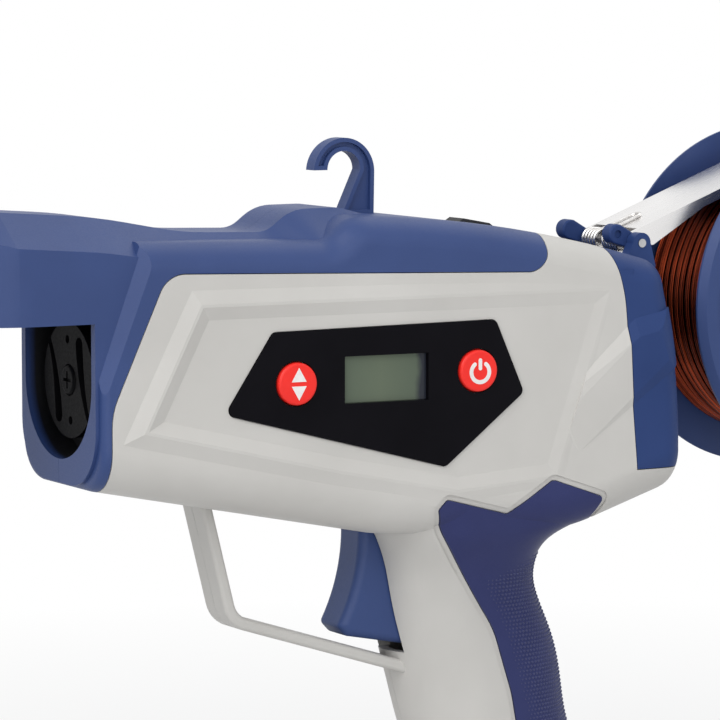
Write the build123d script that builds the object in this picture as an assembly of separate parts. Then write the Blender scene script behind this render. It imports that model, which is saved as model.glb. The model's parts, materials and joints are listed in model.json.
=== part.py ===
from build123d import *
from functools import cache
import math
import os

os.makedirs("parts", exist_ok=True)

# Electric vine tying tool, in millimetres.
# The body is drawn in a body frame: +X to the back, -Y to the left side, +Z up.
# At the end every piece is moved so that the origin is the centre of the battery's base.

# Walls and clearances
WALL = 3.0
SKIN = 1.4
SEAM_GAP = 0.25
HALF_GAP = 0.05
RUN_GAP = 0.3
SHAFT_FIT = 0.05
POCKET_GAP = 0.2
SLOT_GAP = 0.5
FAR = 250.0
OVERCUT = 1.0

# Wide body: outline in the XZ plane and width
FLANK_X = -75.0
FLANK_HALF = 27.5
FLANK_TAPER = 2.6
TOP_RADIUS = 8.0
BELLY_RADIUS = 12.0
REAR_RADIUS = 7.0
BROW_Z = 37.5
DIP = (-24.5, 36.4)
STEP = (-17.0, 42.9)
BACK_TOP = (28.0, 39.0)
REAR_TOP = (81.4, 27.0)
REAR_MID = (87.6, -3.0)
REAR_LOW = (88.6, -38.0)
BELLY_REAR = (52.0, -50.2)
BELLY_MID = (-5.0, -47.4)
CHIN = (-93.5, -30.0)
CREASE_TOP_X = -76.5
CREASE_LOW = (-94.0, -10.0)
SHOULDER = 4.0
CHIN_RADIUS = 2.5
DIP_BEND = 5.0
STEP_BEND = 13.0
BELLY_MID_BEND = 80.0
BELLY_REAR_BEND = 60.0

# Nose, arm and beak
NOSE_HALF = 24.0
NOSE_DROP = 28.0
NOSE_RADIUS = 16.0
RIM_X = -94.5
CUP_HALF = 21.5
CUP_DEPTH = 9.8
CUP_FLOOR = 3.0
ROUND_SLACK = 0.01
ARM_BEND_1 = (-88.0, 43.9)
ARM_BEND_2 = (-62.0, 39.0)
ARM_RADIUS_1 = 150.0
ARM_RADIUS_2 = 90.0
DOME_FOOT = (-36.0, 38.3)
DOME_FRONT = (-28.0, 44.4)
DOME_BACK = (-13.0, 44.5)
DOME_END = (0.0, 41.0)
DOME_FOOT_RADIUS = 8.0
DOME_RADIUS = 14.0
ARM_CHAMFER_DOWN = 9.0
ARM_CHAMFER_IN = 13.0
BEAK_X = -117.0
BEAK_Z = 8.0
BEAK_RADIUS = 38.0
JAW_X = -112.0
JAW_Z = -8.0
JAW_RADIUS = 24.0
CLAW_HALF = 10.0
CLAW_EDGE = 1.8
CLAW_START = 110.0
CLAW_LOW_RADIUS = 3.0
CLAW_TIP_RADIUS = 2.0
CLAW_TIP_INNER = 214.0
CLAW_TIP_OUTER = 234.0
GUIDE_START = 100.0
GUIDE_END = 200.0
GUIDE_HALF = 3.0
GUIDE_DEPTH = 2.4
ARM_TAPER_X = -118.0
ARM_TAPER_LENGTH = 24.0
ARM_TAPER_BEND = 20.0

# Seams between the covers
SEAM_FRONT_X = -91.0
SEAM_KNEE_Z = -8.0
SEAM_CORNER = (-74.5, 29.1)
SEAM_END = (42.6, 25.9)
REAR_SEAM_TOP = (64.0, 32.5)
REAR_SEAM_KNEE = (68.0, 18.0)
REAR_SEAM_LOW = (72.3, -32.0)
REAR_SEAM_BEND = 40.0
SEAM_KNEE_BEND = 20.0
SEAM_CORNER_BEND = 8.0
SEAM_END_BEND = 6.0
ROOM_FRONT_X = -114.0
TUBE_RIB_X = -97.0
WIRE_SLOT_FRONT = -112.0
WIRE_SLOT_BACK = -100.0
WIRE_SLOT_HALF = 1.2
GRIP_FLOOR_Z = -126.0
HOUSING_BOSS_REACH = 40.0
BOSS_INSET = 1.0

# Framed field and rear wedge on the flanks
FRAME_POINTS = (
    (-82.0, -14.0), (-65.0, 20.4), (64.0, 20.6), (46.0, -33.0), (14.0, -35.4), (-24.5, -27.6),
)
FRAME_RISE = 1.2
FRAME_BEVEL = 4.0
FRAME_LAND = 0.8
FIELD_BEVEL = 3.6
FIELD_DEPTH = 0.3
WEDGE_BASE = ((43.9, -13.3), (71.0, 11.5), (96.0, 16.5), (96.0, 4.9), (53.0, -26.1))
WEDGE_CREST = ((48.0, -15.2, 0.5), (72.0, 6.4, 1.6), (96.0, 11.5, 1.6))
WEDGE_ROOT = 6.0
WEDGE_REAR = 0.3

# Grip: height, front, back, half width and squareness of each section
GRIP_SECTIONS = (
    (-37.0, -3.0, 80.0, 31.0, 4.0),
    (-42.0, -2.4, 73.5, 30.9, 3.6),
    (-47.0, -0.6, 65.9, 29.4, 3.2),
    (-52.0, 1.6, 56.3, 27.0, 2.8),
    (-57.5, 3.2, 53.6, 24.0, 2.5),
    (-64.0, 4.2, 53.7, 21.4, 2.3),
    (-72.0, 5.4, 56.5, 19.4, 2.2),
    (-82.0, 7.6, 61.3, 18.2, 2.1),
    (-96.0, 11.2, 65.0, 17.8, 2.0),
    (-114.0, 17.0, 69.5, 18.1, 2.0),
    (-134.0, 22.0, 77.0, 20.0, 2.0),
)
GRIP_SPOTS = 4
SKIN_POINTS = (
    (8.6, -40.2), (10.9, -37.4), (30.6, -42.7), (44.7, -33.6), (61.8, -39.6), (60.0, -45.0), (63.0, -50.0),
    (80.0, -60.0), (110.0, -70.0), (110.0, -127.0), (46.0, -127.0), (40.5, -97.0), (34.0, -77.7),
    (11.2, -46.6),
)
SKIN_CORNERS = (1.0, 1.0, 1.5, 1.5, 1.5, 1.0, 1.0, 0, 0, 0, 0, 30.0, 30.0, 25.0)
SKIN_LEDGE = 1.7
LEDGE_DEPTH = 0.5

# Battery, foot and rail
BATTERY_X = 50.0
BATTERY_TOP = -140.0
BATTERY_LENGTH = 86.0
BATTERY_WIDTH = 73.0
BATTERY_HEIGHT = 26.0
BATTERY_WALL = 2.2
BATTERY_LID = 7.0
BATTERY_CORNER = 9.0
FOOT_HEIGHT = 10.0
FOOT_INSET = 2.0
FOOT_EDGE = 5.0
RAIL_NECK = 17.0
RAIL_HEAD = 20.0
RAIL_STEP = 3.0
RAIL_FRONT = 14.0
RAIL_BACK = 79.0
RAIL_GAP = 0.4
CELL_RADIUS = 9.2
CELL_LENGTH = 65.0
CELL_COUNT = 4
CELL_PITCH = 18.8
CELL_ROW_X = 51.0
BLADE_COUNT = 3
BLADE_PITCH = 11.0
BLADE_LENGTH = 7.0
BLADE_THICK = 1.0
BLADE_HEIGHT = 2.2
TERMINAL_LENGTH = 6.0
TERMINAL_HALF = 16.0
TERMINAL_HEIGHT = 3.6
BATTERY_EDGE = 1.5
LID_EDGE = 1.0
LATCH_HALF = 12.0
LATCH_HEIGHT = 9.0
LATCH_PROUD = 1.6
LATCH_DOWN = 13.5
LATCH_FLANGE = 1.0
LATCH_EDGE = 0.8
LATCH_LIP = 1.2

# Trigger and guard
TRIGGER_X = 1.0
TRIGGER_Z = -41.0
TRIGGER_HALF = 7.0
TRIGGER_HUB = 4.6
TRIGGER_TOE = (-10.3, -75.2)
TRIGGER_CHIN = (-7.5, -78.2)
TRIGGER_HEEL = (12.0, -82.0)
TRIGGER_FRONT = (-3.4, -50.0)
TRIGGER_HOLLOW = (-4.8, -61.0)
TRIGGER_REAR = ((14.0, -70.0), (9.0, -55.0), (5.4, -46.0), (5.0, -41.0))
TRIGGER_EDGE = 2.5
TRIGGER_TOE_RADIUS = 1.5
TRIGGER_CORNER = 2.0
TRIGGER_SLOT = ((-4.6, -36.0), (-4.6, -80.6), (6.0, -84.0), (24.0, -84.5), (24.0, -36.0))
TRIGGER_PIN_RADIUS = 1.5
TRIGGER_PIN_HALF = 12.0
GUARD_HALF = 6.5
GUARD_OUTER = ((-55.0, -34.0), (-45.4, -72.4), (14.0, -91.3))
GUARD_INNER = ((-51.5, -34.0), (-42.6, -69.6), (14.0, -87.6))
GUARD_BEND = 9.0
GUARD_INNER_BEND = 6.0
GUARD_SHORT = 8.0
GUARD_EDGE = 1.2
SWITCH_BOX = (20.0, 34.0, -70.0, -56.0)
SWITCH_HALF = 6.0
SWITCH_BOSS = 2.5
SWITCH_PLUNGER = 2.4
SWITCH_X = 28.0
SWITCH_Z = -63.0

# Control panel, display and keys
PANEL_POINTS = ((-43.2, 11.9), (-57.6, -10.1), (10.0, -27.8), (34.8, -7.9), (25.8, 12.9))
PANEL_CORNER = 2.0
PANEL_PROUD = 0.3
PANEL_THICK = 1.6
LCD_X = -8.5
LCD_Z = -2.1
LCD_LENGTH = 26.0
LCD_HEIGHT = 13.2
LCD_BORDER = 1.8
LCD_SUNK = 1.1
KEY_RADIUS = 5.9
KEY_GAP = 0.4
KEY_PROUD = 1.5
KEY_FLANGE = 0.9
KEY_EDGE = 0.8
KEY_DROP = 3.8
ADJUST_X = -36.3
ADJUST_Z = -2.4
POWER_X = 19.9
POWER_Z = -1.2
BOARD_DROP = 8.0
BOARD_THICK = 1.6
BOARD_BOX = (-46.0, 30.0, -17.0, 11.0)
BOARD_POST = 2.5
BOARD_INSET = 3.0
DRIVE_BOX = (-35.0, 4.0, -5.0, 20.0)
DRIVE_PARTS_X = (-24.0, -8.0)
DRIVE_PART = 9.0
DRIVE_PART_RISE = 4.0
SWITCH_SIDE = 5.0
SWITCH_RISE = 2.4
ROCK_SPACING = 3.4
ROCK_PIVOT = 0.5
ROCK_PIVOT_DROP = 2.4
ROCK_PIVOT_REACH = 7.2

# Twisting drive along X
TWIST_Z = -1.2
HEAD_X = -91.2
HEAD_RADIUS = 16.0
HEAD_THICK = 5.6
HEAD_SLOT = ((-6.7, 10.0, 2.2), (-7.6, 3.4, 1.9), (-9.8, -4.6, 1.3), (-13.4, -11.5, 1.0))
HEAD_HOLE = 1.2
HEAD_HOLE_SPOT = (0.9, 11.1)
HEAD_SCREW_RADIUS = 1.6
HEAD_SCREW_HEAD = 4.2
HEAD_SCREW_SUNK = 1.2
HEAD_SCREW_RISE = 1.8
HEAD_SCREW_GRIP = 6.0
HEAD_CROSS = 2.4
HEAD_CROSS_WIDTH = 0.9
HEAD_CROSS_DEPTH = 0.9
SHAFT_RADIUS = 4.0
SHAFT_BACK = -49.0
BUSH_RADIUS = 7.0
BUSH_LENGTH = 7.0
GEAR_MODULE = 1.0
GEAR_TEETH = 27
PINION_TEETH = 11
GEAR_X = -68.0
GEAR_WIDTH = 7.0
GEAR_BACKLASH = 0.24
GEAR_PLAY = 0.1
GEAR_ROOT = 1.2
GEAR_TIP = 0.9
GEAR_FLANK = 20.0
FRAME_X = -57.0
FRAME_THICK = 4.0
MOTOR_RADIUS = 12.0
MOTOR_LENGTH = 42.0
MOTOR_SHAFT = 1.6
MOTOR_BEARING = 4.0
MOTOR_EDGE = 1.5
MOTOR_BOSS = 2.0

# Wire line and feed
WIRE_Z = 22.0
WIRE_RADIUS = 0.5
WIRE_SIDES = 6
TUBE_RADIUS = 2.5
TUBE_BORE = 0.9
FEED_X = 20.0
FEED_RADIUS = 9.0
FEED_HALF = 4.0
FEED_SHAFT = 2.5
PINCH_RADIUS = 4.5
PINCH_PIN_RADIUS = 1.2
PIVOT_X = 33.0
PIVOT_Z = 28.5
PIVOT_RADIUS = 2.0
LEVER_THICK = 2.0
LEVER_WALL = 1.2
LEVER_TIP = 2.8
PIVOT_CAP = 1.0
ROLLER_EDGE = 0.5
FEED_PLATE_Y = 7.0
FEED_PLATE_THICK = 2.0
FEED_PLATE_BOX = (13.0, 38.0, -2.0, 33.0)
FEED_MOTOR_RADIUS = 11.5
TUBE_STOP = 6.2
TUBE_BENDS = ((45.0, 22.0), (70.0, 2.0))
TUBE_BEND = 14.0
INLET_Z = 2.0
INLET_RADIUS = 3.4
INLET_FLANGE = 5.5
INLET_INNER_X = 83.0
INLET_END_X = 90.2
CUTTER_THICK = 1.8
CUTTER_HALF = 6.0
CUTTER_HEIGHT = 9.0

# Hook
HOOK_HALF = 2.4
HOOK_X = -6.4
HOOK_Z = 53.8
HOOK_RADIUS = 9.7
HOOK_EYE = (-6.5, 54.5)
HOOK_EYE_RADIUS = 5.3
HOOK_FOOT = (-6.8, 3.0)
HOOK_TENON_Z = 36.5
HOOK_NECK_Z = 42.5
HOOK_DISH_Z = 43.0
HOOK_RIB = 1.2
HOOK_RECESS = 1.2

# Plug on the top
PLUG_HALF = 4.0
PLUG_TOP = ((30.1, 38.7), (31.8, 39.7), (40.4, 38.1), (42.8, 36.4))
PLUG_DEPTH = 3.4

# Brake arm on the wire
HINGE_X = 83.0
HINGE_Z = 31.8
HINGE_RADIUS = 1.25
EAR_RADIUS = 3.0
EAR_IN = 15.3
EAR_OUT = 19.0
EAR_POINTS = ((80.0, 31.8), (86.0, 31.8), (87.8, 25.0), (83.0, 17.0), (75.0, 22.0))
HINGE_PIN_HALF = 19.3
BRAKE_TILT = 21.0
BRAKE_HALF = 12.15
BRAKE_SHEET = 1.2
BRAKE_RISE = 2.3
BRAKE_START = 4.5
BRAKE_LENGTH = 62.0
BRAKE_TIP = 8.0
BRAKE_TIP_RISE = 4.2
BRAKE_WALL_LOW = -0.45
BRAKE_HEEL = (7.4, -4.1)
BRAKE_TAPER_END = 28.0
BRAKE_BEND = 8.0
CAP_IN = 10.4
CAP_OUT = 15.0
CAP_RADIUS = 2.9
CAP_ROOT = 2.2
CAP_EDGE = 0.6
CAP_DIMPLE = 1.2
CAP_DIMPLE_DEPTH = 0.8
CAP_SPOT = (-4.4, 4.4)
LUG_RADIUS = 1.6
LUG_ROOT = 2.6
SPRING_WIRE = 0.5
SPRING_SIDES = 8
SPRING_RADIUS = 2.85
SPRING_TURNS = 4.25
SPRING_PITCH = 1.6
SPRING_START = 2.0
SPRING_LOOP = 11.0
SPRING_LEG = 2.0

# Spool and its carrier
SPOOL_X = 152.6
SPOOL_Z = 12.1
SPOOL_RADIUS = 52.0
SPOOL_HALF = 23.8
FLANGE_THICK = 2.8
FLANGE_BEVEL = 2.0
HUB_RADIUS = 17.0
WINDING_RADIUS = 42.5
WIND_LOOPS = 24
CORE_HALF = 20.7
DISH_OUTER = 46.0
DISH_INNER = 24.0
DISH_DEPTH = 0.8
AXLE_RADIUS = 5.0
BRACKET_Y = 27.0
BRACKET_THICK = 6.0
BRACKET_HUB = 13.0
BRACKET_FOOT_X = (82.0, 95.0)
BRACKET_FOOT_Y = 10.0
BRACKET_FOOT_Z = (-12.0, 9.0)
COLLAR_RADIUS = 8.0
KNOB_RADIUS = 13.0
KNOB_LENGTH = 9.0
KNOB_SOCKET = 6.0
KNOB_EDGE = 2.0
KNOB_FLUTES = 8
FLUTE_RADIUS = 4.0
FLUTE_DEPTH = 1.2

# Screws
SCREW_RADIUS = 1.5
SCREW_LENGTH = 22.0
SCREW_HEAD = 2.8
SCREW_HEAD_HEIGHT = 2.4
SCREW_EDGE = 0.8
SCREW_SOCKET = 1.2
SCREW_SEAT = 11.0
BOSS_WALL = 1.5
COVER_SCREWS = ((-104.0, 33.0), (-46.0, 33.5), (8.0, 32.6))
HOUSING_SCREWS = ((-75.0, -25.5), (57.0, -22.0), (58.0, 23.0))
GRIP_SCREWS = ((34.0, -93.0), (46.0, -120.0))
REAR_SCREWS = ((-28.2, -22.0), (28.2, -22.0), (-28.2, 15.0), (28.2, 15.0))
REAR_SCREW_LENGTH = 16.0
REAR_SEAT_X = 80.0
REAR_BOSS_X = 58.0
BRACKET_SCREWS = ((16.0, -7.0), (16.0, 4.5))
BRACKET_SCREW_X = 79.0


def half_at(x):
    """Half width of the body at x."""
    return FLANK_HALF + (x - FLANK_X) * math.tan(math.radians(FLANK_TAPER))


def slab(face, y0, y1):
    """Extrude an outline of the XZ plane from y0 to y1."""
    return extrude(Plane.XZ.offset(-y1) * face, y1 - y0)


def block(x0, x1, y0, y1, z0, z1):
    return Pos((x0 + x1) / 2, (y0 + y1) / 2, (z0 + z1) / 2) * Box(x1 - x0, y1 - y0, z1 - z0)


def rod_x(y, z, radius, x0, x1):
    return Pos((x0 + x1) / 2, y, z) * Rot(0, 90, 0) * Cylinder(radius, x1 - x0)


def rod_y(x, z, radius, y0, y1):
    return Pos(x, (y0 + y1) / 2, z) * Rot(90, 0, 0) * Cylinder(radius, y1 - y0)


def rounded(outline, corners):
    """Face inside an outline, with the listed corners rounded."""
    face = make_face(outline)
    for (x, z), radius in corners:
        face = fillet(face.vertices().sort_by_distance((x, z, 0))[0], radius)
    return face


def polygon(points, radius=0.0):
    return make_face(FilletPolyline(*points, radius=radius, close=True))


def on_circle(x, z, radius, degrees):
    angle = math.radians(degrees)
    return (x + radius * math.cos(angle), z + radius * math.sin(angle))


def mirrored(part):
    return mirror(part, about=Plane.XZ)


# Outer forms

def body_face():
    slope = (CREASE_LOW[0] - CREASE_TOP_X) / (BROW_Z - CREASE_LOW[1])
    brow = (CREASE_TOP_X - SHOULDER, BROW_Z)
    lip = (CHIN[0], BROW_Z + (CHIN[0] - brow[0]) / -slope)
    outline = (Polyline(STEP, DIP, brow, lip, CHIN, BELLY_MID, BELLY_REAR, REAR_LOW)
               + ThreePointArc(REAR_LOW, REAR_MID, REAR_TOP)
               + ThreePointArc(REAR_TOP, BACK_TOP, STEP))
    return rounded(outline, [(DIP, DIP_BEND), (STEP, STEP_BEND), (BELLY_MID, BELLY_MID_BEND),
                             (BELLY_REAR, BELLY_REAR_BEND)])


def plan_prism(inset):
    """Prism of the tapered plan view."""
    reach = 2 * SPOOL_RADIUS + HINGE_X
    front, back = half_at(-reach) - inset, half_at(reach) - inset
    plan = polygon(((-reach, -front), (reach, -back), (reach, back), (-reach, front)))
    return extrude(Pos(0, 0, -reach) * plan, 2 * reach)


def long_edges(body, upper):
    """Edges along both flanks, at the top or at the belly."""
    edges = []
    for side in (-1, 1):
        flanks = [f for f in body.faces() if f.normal_at().Y * side > 0.9]
        edges += max(flanks, key=lambda f: f.area).edges()
    return [e for e in edges if abs((e % 0.5).X) > 0.6 and (e.center().Z > 0) == upper]


@cache
def wide_body(inset=0.0):
    face = body_face()
    if inset:
        face = offset(face, -inset)
    body = slab(face, -2 * FLANK_HALF, 2 * FLANK_HALF) & plan_prism(inset)
    body = fillet(long_edges(body, True), TOP_RADIUS - inset)
    body = fillet(long_edges(body, False), BELLY_RADIUS - inset)
    body = fillet(body.faces().sort_by(Axis.X)[-1].edges(), REAR_RADIUS - inset)
    if not inset:
        chin = body.faces().sort_by(Axis.X)[0]
        body = fillet([e for e in chin.edges() if e.center().Z < CREASE_LOW[1] + CHIN_RADIUS], CHIN_RADIUS)
    crease = Vector(CREASE_LOW[0] - CREASE_TOP_X, 0, CREASE_LOW[1] - BROW_Z)
    for side in (-1, 1):
        normal = (crease.cross(Vector(-1, -side, 0)) * side).normalized()
        start = Vector(CREASE_TOP_X, side * half_at(CREASE_TOP_X), BROW_Z) - normal * inset
        body = split(body, bisect_by=Plane(origin=start, z_dir=normal), keep=Keep.BOTTOM)
    return body


def jaw_roof():
    return JAW_Z + JAW_RADIUS


def beak_angle():
    """Angle on the beak's outer arc at the height of the jaw's roof."""
    return 180 - math.degrees(math.asin((jaw_roof() - BEAK_Z) / BEAK_RADIUS))


def arm_face():
    top = (BEAK_X, BEAK_Z + BEAK_RADIUS)
    low = on_circle(BEAK_X, BEAK_Z, BEAK_RADIUS, beak_angle())
    brow = on_circle(BEAK_X, BEAK_Z, BEAK_RADIUS, (beak_angle() + 90) / 2)
    outline = (Polyline(top, ARM_BEND_1, ARM_BEND_2, DOME_FOOT, DOME_FRONT, DOME_BACK, DOME_END,
                        (DOME_END[0], jaw_roof()), low)
               + ThreePointArc(low, brow, top))
    return rounded(outline, [(ARM_BEND_1, ARM_RADIUS_1), (ARM_BEND_2, ARM_RADIUS_2),
                             (DOME_FOOT, DOME_FOOT_RADIUS), (DOME_FRONT, DOME_RADIUS),
                             (DOME_BACK, DOME_RADIUS)])


def arm_plan(inset):
    """Prism of the arm in plan view, narrowing to the beak."""
    tip_x = ARM_TAPER_X - ARM_TAPER_LENGTH
    far = BEAK_X - 2 * BEAK_RADIUS
    side = ((far, CLAW_HALF), (tip_x, CLAW_HALF), (ARM_TAPER_X, NOSE_HALF), (-far, NOSE_HALF))
    points = [(x, y - inset) for x, y in side] + [(x, inset - y) for x, y in reversed(side)]
    bends = [0, ARM_TAPER_BEND, ARM_TAPER_BEND, 0]
    return extrude(Pos(0, 0, far) * polygon(points, bends + bends), -2 * far)


def arm(inset=0.0):
    face = arm_face()
    if inset:
        face = offset(face, -inset)
    width = NOSE_HALF - inset
    body = slab(face, -width, width)
    for side in (0, -1):
        flank = body.faces().sort_by(Axis.Y)[side]
        edges = [e for e in flank.edges() if e.center().Z > jaw_roof() + ARM_CHAMFER_DOWN
                 and e.center().X < DOME_END[0] - inset - OVERCUT and abs((e % 0.5).X) > 0.5]
        body = chamfer(edges, ARM_CHAMFER_DOWN - inset / 2, ARM_CHAMFER_IN - inset / 2, reference=flank)
    return body & arm_plan(inset)


def claw():
    outer_mid = (beak_angle() + CLAW_TIP_OUTER) / 2
    start = on_circle(BEAK_X, BEAK_Z, BEAK_RADIUS, CLAW_START)
    low = on_circle(BEAK_X, BEAK_Z, BEAK_RADIUS, CLAW_TIP_OUTER)
    tip = on_circle(JAW_X, JAW_Z, JAW_RADIUS, CLAW_TIP_INNER)
    root = on_circle(JAW_X, JAW_Z, JAW_RADIUS, 90)
    outline = (ThreePointArc(start, on_circle(BEAK_X, BEAK_Z, BEAK_RADIUS, outer_mid), low)
               + Line(low, tip)
               + ThreePointArc(tip, on_circle(JAW_X, JAW_Z, JAW_RADIUS, (90 + CLAW_TIP_INNER) / 2), root)
               + Line(root, start))
    face = rounded(outline, [(low, CLAW_LOW_RADIUS), (tip, CLAW_TIP_RADIUS)])
    body = slab(face, -CLAW_HALF, CLAW_HALF)
    edges = [e for s in (0, -1) for e in body.faces().sort_by(Axis.Y)[s].edges()
             if e.center().X < ARM_TAPER_X]
    return fillet(edges, CLAW_EDGE)


def u_section(half, drop, radius, top, x0, x1):
    """Bar along X with a round lower side, centred on the twist axis."""
    low = TWIST_Z - drop
    points = ((-half, top), (-half, low), (half, low), (half, top))
    return extrude(Plane(origin=(x0, 0, 0), x_dir=(0, 1, 0), z_dir=(1, 0, 0))
                   * polygon(points, [0, radius, radius, 0]), x1 - x0)


def cup_floor_x():
    return RIM_X + CUP_DEPTH


def nose(grow=0.0):
    return u_section(NOSE_HALF + grow, NOSE_DROP, NOSE_RADIUS, jaw_roof() + WALL, RIM_X,
                     cup_floor_x() + CUP_FLOOR)


def cup_cavity():
    return u_section(CUP_HALF, CUP_HALF, CUP_HALF - ROUND_SLACK, jaw_roof(), RIM_X - WALL, cup_floor_x())


def cup_lining(grow=0.0):
    half = NOSE_HALF + grow
    return u_section(half, half, half - ROUND_SLACK, jaw_roof() + WALL, SEAM_FRONT_X - WALL,
                     cup_floor_x() + CUP_FLOOR + grow)


@cache
def grip(inset=0.0):
    sections = []
    for z, front, back, half, square in GRIP_SECTIONS:
        arcs = []
        for quarter in range(4):
            spots = []
            for i in range(GRIP_SPOTS + 1):
                angle = math.pi / 2 * (quarter + i / GRIP_SPOTS)
                x, y = round(math.cos(angle), 9), round(math.sin(angle), 9)
                spots.append((math.copysign(abs(x) ** (2 / square), x) * ((back - front) / 2 - inset),
                              math.copysign(abs(y) ** (2 / square), y) * (half - inset)))
            turn = math.pi / 2 * quarter
            begin = (-math.sin(turn), math.cos(turn))
            arcs.append(Spline(*spots, tangents=(begin, (-begin[1], begin[0]))))
        sections.append(Pos((front + back) / 2, 0, z) * make_face(arcs))
    return loft(sections)


def foot():
    plate = RectangleRounded(BATTERY_LENGTH - 2 * FOOT_INSET, BATTERY_WIDTH - 2 * FOOT_INSET, BATTERY_CORNER)
    body = extrude(Pos(BATTERY_X, 0, BATTERY_TOP + RUN_GAP) * plate, FOOT_HEIGHT - RUN_GAP)
    return fillet(body.faces().sort_by(Axis.Z)[-1].edges(), FOOT_EDGE)


def guard():
    outer = FilletPolyline(*GUARD_OUTER, radius=GUARD_BEND)
    inner = FilletPolyline(*GUARD_INNER, radius=GUARD_INNER_BEND)
    ends = Line(GUARD_OUTER[0], GUARD_INNER[0]) + Line(GUARD_OUTER[-1], GUARD_INNER[-1])
    body = slab(make_face(outer + inner + ends), -GUARD_HALF, GUARD_HALF)
    edges = [e for s in (0, -1) for e in body.faces().sort_by(Axis.Y)[s].edges() if e.length > GUARD_SHORT]
    return fillet(edges, GUARD_EDGE)


# Flank frames: a plane on each side, with x along the flank, y up and z outwards

def flank_plane(side):
    angle = math.radians(FLANK_TAPER)
    return Plane(origin=(0, side * half_at(0), 0),
                 x_dir=(-side * math.cos(angle), -math.sin(angle), 0) if side > 0
                 else (math.cos(angle), -math.sin(angle), 0),
                 z_dir=(-math.sin(angle), side * math.cos(angle), 0))


LEFT = flank_plane(-1)


def on_flank(face, low, high):
    """Extrude a left flank outline between two heights above the flank."""
    return extrude(LEFT.offset(low) * face, high - low)


def shifted(points, distance):
    """Points of a polygon whose sides are moved inwards by a distance."""
    moved = []
    for i, (x, z) in enumerate(points):
        before = Vector(x, z) - Vector(*points[i - 1])
        after = Vector(*points[(i + 1) % len(points)]) - Vector(x, z)
        a, b = before.normalized(), after.normalized()
        inward = (Vector(a.Y, -a.X) + Vector(b.Y, -b.X)) * (distance / (1 + a.dot(b)))
        moved.append((x + inward.X, z + inward.Y))
    return moved


def fading_plane(lift, start_x, end_x):
    """Plane that stands off the left flank by lift at start_x and meets it at end_x."""
    begin = Vector(*LEFT.from_local_coords((start_x, 0, lift)))
    along = (Vector(*LEFT.from_local_coords((end_x, 0, 0))) - begin).normalized()
    out = Vector(0, 0, 1).cross(along) * -1
    return Plane(origin=begin - along * start_x, x_dir=along, z_dir=out)


def field_frame():
    """Raised frame on the left flank that fades to the back, and the field inside it."""
    xs = [x for x, z in FRAME_POINTS]
    top = fading_plane(FRAME_RISE, min(xs), max(xs))
    foot_depth = FIELD_DEPTH
    spread = FRAME_BEVEL * (FRAME_RISE + foot_depth) / FRAME_RISE
    raised = loft([LEFT.offset(-foot_depth) * polygon(shifted(FRAME_POINTS, -spread)),
                   top * polygon(FRAME_POINTS)], ruled=True)
    crown = polygon(shifted(FRAME_POINTS, FRAME_LAND))
    bed = polygon(shifted(FRAME_POINTS, FRAME_LAND + FIELD_BEVEL))
    hollow = loft([LEFT.offset(-FIELD_DEPTH) * bed, top * crown], ruled=True) + extrude(top * crown, WALL)
    return raised, hollow


def wedge():
    """Facet on the left flank that rises from its lower line to a bevelled upper edge."""
    base = [LEFT.from_local_coords((x, z, 0)) for x, z in WEDGE_BASE]
    root = [LEFT.from_local_coords((x, z, -WEDGE_ROOT)) for x, z in WEDGE_BASE]
    crest = [LEFT.from_local_coords(spot) for spot in WEDGE_CREST]
    far = WEDGE_BASE[2][0]
    rise = max(spot[2] for spot in WEDGE_CREST)
    limit = slab(offset(body_face(), WEDGE_REAR), -far, 0) & plan_prism(-rise)
    limit = limit & block(0, far, -far, 0, REAR_SEAM_LOW[1], REAR_SEAM_KNEE[1])
    corner = limit.faces().sort_by(Axis.Y)[0].edges().sort_by(Axis.X)[-1]
    return ConvexPolyhedron(base + root + crest) & fillet(corner, REAR_RADIUS + rise - WEDGE_REAR)


def outer_form():
    body = wide_body()
    raised, hollow = field_frame()
    facet = wedge()
    body = body + raised + mirrored(raised) + facet + mirrored(facet)
    return body - hollow - mirrored(hollow)


# Shells

def seam_region(grow=0.0):
    """Space of the front covers, bounded by the seam in side view."""
    points = ((SEAM_FRONT_X, -FAR), (SEAM_FRONT_X, SEAM_KNEE_Z), SEAM_CORNER, SEAM_END, (SEAM_END[0], FAR),
              (-FAR, FAR), (-FAR, -FAR))
    face = polygon(points, [0, SEAM_KNEE_BEND, SEAM_CORNER_BEND, SEAM_END_BEND, 0, 0, 0])
    return slab(offset(face, grow) if grow else face, -FAR, FAR)


def rear_region(grow=0.0):
    """Space of the rear cover, behind a bent seam and above a level one."""
    knee, low = REAR_SEAM_KNEE, REAR_SEAM_LOW
    lean = (REAR_SEAM_TOP[0] - knee[0]) / (REAR_SEAM_TOP[1] - knee[1])
    top = (knee[0] + lean * FAR, knee[1] + FAR)
    face = polygon((top, knee, low, (FAR, low[1]), (FAR, top[1])), [0, REAR_SEAM_BEND, 0, 0, 0])
    return slab(offset(face, grow) if grow else face, -FAR, FAR)


def side_half(part, side):
    """Left (-1) or right (+1) half of a part, half a parting gap off the mid plane."""
    y0, y1 = sorted((side * HALF_GAP, side * FAR))
    return part & block(-FAR, FAR, y0, y1, -FAR, FAR)


def screw_bosses(points, reach):
    """Left bosses hold the thread, right bosses seat the screw head."""
    bosses = Part()
    for x, z in points:
        bosses += rod_y(x, z, SCREW_RADIUS + BOSS_WALL, -reach, 0)
        bosses += rod_y(x, z, SCREW_HEAD + BOSS_WALL, 0, reach)
    return bosses


def screw_holes(points):
    holes = Part()
    for x, z in points:
        holes += rod_y(x, z, SCREW_RADIUS + SHAFT_FIT, SCREW_SEAT - SCREW_LENGTH - RUN_GAP, SCREW_SEAT)
        holes += rod_y(x, z, SCREW_HEAD + RUN_GAP, SCREW_SEAT, FAR)
    return holes


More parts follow.
